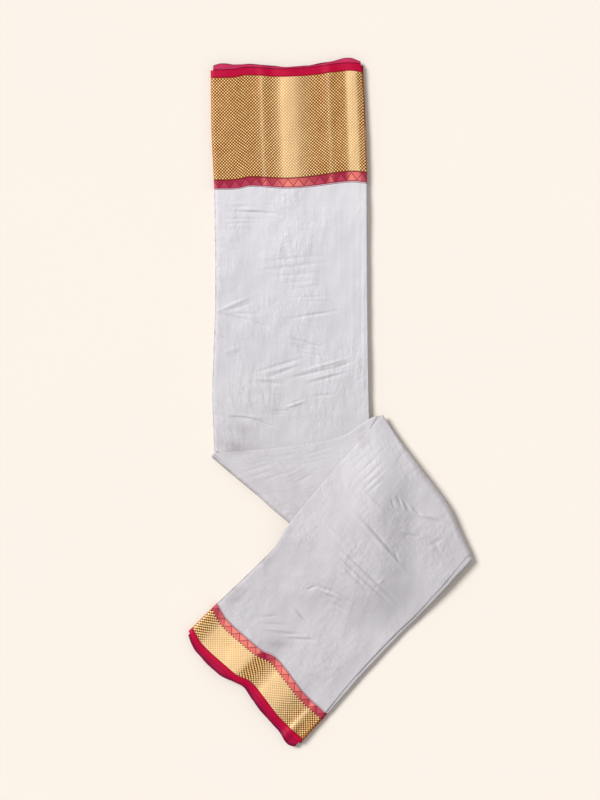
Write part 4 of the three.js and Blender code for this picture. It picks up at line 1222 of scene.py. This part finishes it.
def float_piece(name, tree, outer, uv, painted_highlight, sizes):
    """The floats of one border, made on its outer side and kept as a plain mesh."""
    rows, columns = outer.shape[:2]
    index = np.arange(rows * columns).reshape(rows, columns)
    faces = grid_faces(index)
    carrier = cloth_object(
        name + "_carrier", outer.reshape(-1, 3), faces, uv.reshape(-1, 2), [], wear_and_painted_light=painted_highlight.ravel(),
    )
    if carrier.data.polygons[len(carrier.data.polygons) // 2].normal.z < 0:
        carrier.data.flip_normals()
    modifier = carrier.modifiers.new("floats", "NODES")
    modifier.node_group = tree
    for item in tree.interface.items_tree:
        if item.in_out == "INPUT" and item.name in sizes:
            modifier[item.identifier] = sizes[item.name]
    bpy.context.view_layer.update()
    evaluated = carrier.evaluated_get(bpy.context.evaluated_depsgraph_get())
    mesh = bpy.data.meshes.new_from_object(evaluated)
    mesh.name = name
    carrier.modifiers.remove(modifier)
    bpy.data.objects.remove(carrier)
    piece = bpy.data.objects.new(name, mesh)
    bpy.context.scene.collection.objects.link(piece)
    return piece


# ---- The sari ----

PAINTED_HIGHLIGHTS = {"upper": UPPER_PAINTED_HIGHLIGHT, "lower": LOWER_PAINTED_HIGHLIGHT}
STRETCHES = {
    "upper": (UPPER_RIBS, upper_place, upper_lift, UPPER_INSET),
    "lower": (LOWER_RIBS, lower_place, lower_lift, LOWER_INSET),
}
# Each border's bands, materials and width, and the way out of the pack at its end.
BORDERS = {
    "upper": (BROAD, UPPER_ZARI, UPPER_ORNAMENT, 203, UPPER_OUT[1]),
    "lower": (NARROW, LOWER_ZARI, LOWER_ORNAMENT, 207, LOWER_OUT[1]),
}


def kept(piece, node, flat, area=None):
    """Ties a sheet of cloth to the frame: what it rides on and stands for."""
    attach(piece, "root")
    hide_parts(node)
    flat_m = tuple(max(side, LEAST_SIDE) * MM for side in flat)
    area = None if area is None else area * MM * MM


LATTICE = float_tree()


def border(stretch):
    """The three bands of one border, and the floats of its gold."""
    sizes, zari, ornament, width, _ = BORDERS[stretch]
    gold_start = sizes["selvage"]
    ornament_start = gold_start + sizes["gold"]
    end = ornament_start + sizes["ornament"]
    selvage, *_ = band_piece(f"{stretch}_crimson_selvage", stretch, 0, gold_start, CRIMSON)
    gold, outer, uv, painted_highlight = band_piece(f"{stretch}_gold_border", stretch, gold_start, ornament_start, zari)
    band, *_ = band_piece(f"{stretch}_temple_band", stretch, ornament_start, end, ornament)
    floats = float_piece(f"{stretch}_gold_floats", LATTICE, outer, uv, painted_highlight, {
        "Band Start": gold_start * MM,
        "Band Length": sizes["gold"] * MM,
        "Band Width": ZARI_WIDTH * MM,
        "Float Radius": FLOAT_SIZE[stretch][0] * MM,
        "Float Height": FLOAT_SIZE[stretch][1] * MM,
    })
    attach(floats, "root")
    share = width * gold_start if gold_start < LEAST_SIDE else None
    kept(selvage, f"{stretch}_selvage", (width, gold_start), area=share)
    kept(gold, f"{stretch}_zari_border", (width, sizes["gold"]))
    kept(band, f"{stretch}_ornament_band", (width, sizes["ornament"]))


def row(place, ribs, at, low, high, shown, width_at=None):
    """A section of the hidden layers at a station, or at an angle round a fold, where it is as wide
    as at the station width_at: how it is laid, where, its width, its depths from and to, whether
    its upper side is the one that shows, and how much further in its topmost leaf lies."""

    def laid(across, depth):
        return place(np.full(across.shape, float(at)), across, depth)

    width = widths_of(ribs, np.array([float(at if width_at is None else width_at)]))[0]
    return laid, at, width, low, high, shown, UPPER_LEDGE if place is upper_place else 0.0


def spaced(start, stop):
    return np.linspace(start, stop, steps_for(abs(stop - start), LAYER_STEP) + 1)


def border_rows(stretch):
    """The hidden layers under one border, thinner at its end, where a second selvage shows."""
    ribs, place, *_ = STRETCHES[stretch]
    sizes = BORDERS[stretch][0]
    tucked = SELVAGE_TUCK + 1
    even = spaced(STACK_START[stretch], sizes["selvage"] + sizes["gold"])
    stations = [tucked + 2, *even, STACK_BAND[stretch], sum(sizes.values())]
    ends = [row(place, ribs, at, 0, UNDER_CORE, True) for at in (0, STACK_END, tucked)]
    return ends + [row(place, ribs, at, 0, CORE, True) for at in stations]


def silk_rows():
    """The hidden layers between the borders, through all three stretches and both folds."""
    rise = PACK - CORE
    turns = np.linspace(0, math.pi, FOLD_STEPS)[1:-1]
    upper = spaced(sum(BROAD.values()), UPPER_LENGTH)
    lower = spaced(LOWER_LENGTH, sum(NARROW.values()))
    return [
        *(row(upper_place, UPPER_RIBS, at, 0, CORE, True) for at in upper),
        *(row(first_fold_place, UPPER_RIBS, angle, rise, PACK, False, UPPER_LENGTH) for angle in turns),
        *(row(middle_place, MIDDLE_RIBS, at, rise, PACK, False) for at in spaced(0, MIDDLE_LENGTH)),
        *(row(second_fold_place, LOWER_RIBS, angle, 0, CORE, True, LOWER_LENGTH) for angle in turns),
        *(row(lower_place, LOWER_RIBS, at, 0, CORE, True) for at in lower),
    ]


def border_layers(stretch):
    """The hidden layers under one border, with edges in crimson, gold and ornament."""
    sizes, zari, ornament, _, end_out = BORDERS[stretch]
    gold_from = sizes["selvage"] + ZONE_SLACK
    ornament_from = sizes["selvage"] + sizes["gold"] + ZONE_SLACK
    rows = border_rows(stretch)
    zones = [0 if at <= gold_from else 1 if at <= ornament_from else 2 for _, at, *_ in rows]
    return stack_block(f"{stretch}_layers", rows, [CRIMSON, zari, ornament], zones, end_out)


def second_selvage(stretch, showing, flat):
    piece = under_selvage_piece(f"{stretch}_second_selvage", stretch, showing, CRIMSON)
    kept(piece, f"{stretch}_under_selvage", flat)


border("upper")
border("lower")
second_selvage("upper", UPPER_UNDER_END, (198, 42))
second_selvage("lower", LOWER_UNDER_END, (203, 42))

kept(upper_field_piece("upper_silk", SILK), "upper_field", (215, 300))
kept(middle_field_piece("middle_silk", SILK), "middle_field", (158, 160), 15800)
kept(lower_field_piece("lower_silk", SILK), "lower_field", (205, 350))

kept(border_layers("upper"), "hidden_layers", (203, 158))
kept(border_layers("lower"), "hidden_layers", (207, 70))
silk_sections = silk_rows()
silk_block = stack_block("silk_layers", silk_sections, [SILK], [0] * len(silk_sections))
kept(silk_block, "hidden_layers", (235, 1000))

# ---- Studio ----

FRAME_HEIGHT = 1.056  # metres of the surface that the frame takes in, top to bottom
CAMERA_LENS = 85.0
SENSOR = 36.0
CAMERA_PLAN = (-0.0387, 0.0036)
FILL = 0.42
KEY = {"way": (-0.64, 0.36, 0.73), "strength": 2.9, "spread": 24, "away": 2}  # spread is in degrees
FLOOR = {"size": 12, "drop": 0.0002}


def studio():
    """A cream sweep, one wide soft key from the upper left and even fill."""
    bpy.ops.mesh.primitive_plane_add(size=FLOOR["size"], location=(0, 0, -FLOOR["drop"]))
    floor = bpy.context.object
    floor.name = "paper_floor"
    floor.data.materials.append(paper_sweep())

    scene = bpy.context.scene
    world = bpy.data.worlds.new("studio_fill")
    world.use_nodes = True
    world.node_tree.nodes["Background"].inputs["Color"].default_value = lin(0xFFFFFF)
    world.node_tree.nodes["Background"].inputs["Strength"].default_value = FILL
    scene.world = world

    way = np.array(KEY["way"]) / np.linalg.norm(KEY["way"])
    light = bpy.data.lights.new("key_softbox", "SUN")
    light.energy = KEY["strength"]
    light.angle = math.radians(KEY["spread"])
    lamp = bpy.data.objects.new("key_softbox", light)
    lamp.location = way * KEY["away"]
    lamp.rotation_euler = (math.acos(way[2]), 0, math.atan2(way[0], -way[1]))
    scene.collection.objects.link(lamp)

    camera = bpy.data.objects.new("camera", bpy.data.cameras.new("camera"))
    camera.data.lens = CAMERA_LENS
    camera.data.sensor_width = SENSOR
    camera.location = (*CAMERA_PLAN, PACK * MM + FRAME_HEIGHT * CAMERA_LENS / SENSOR)
    scene.collection.objects.link(camera)
    scene.camera = camera
    scene.view_settings.view_transform = "Standard"


studio()
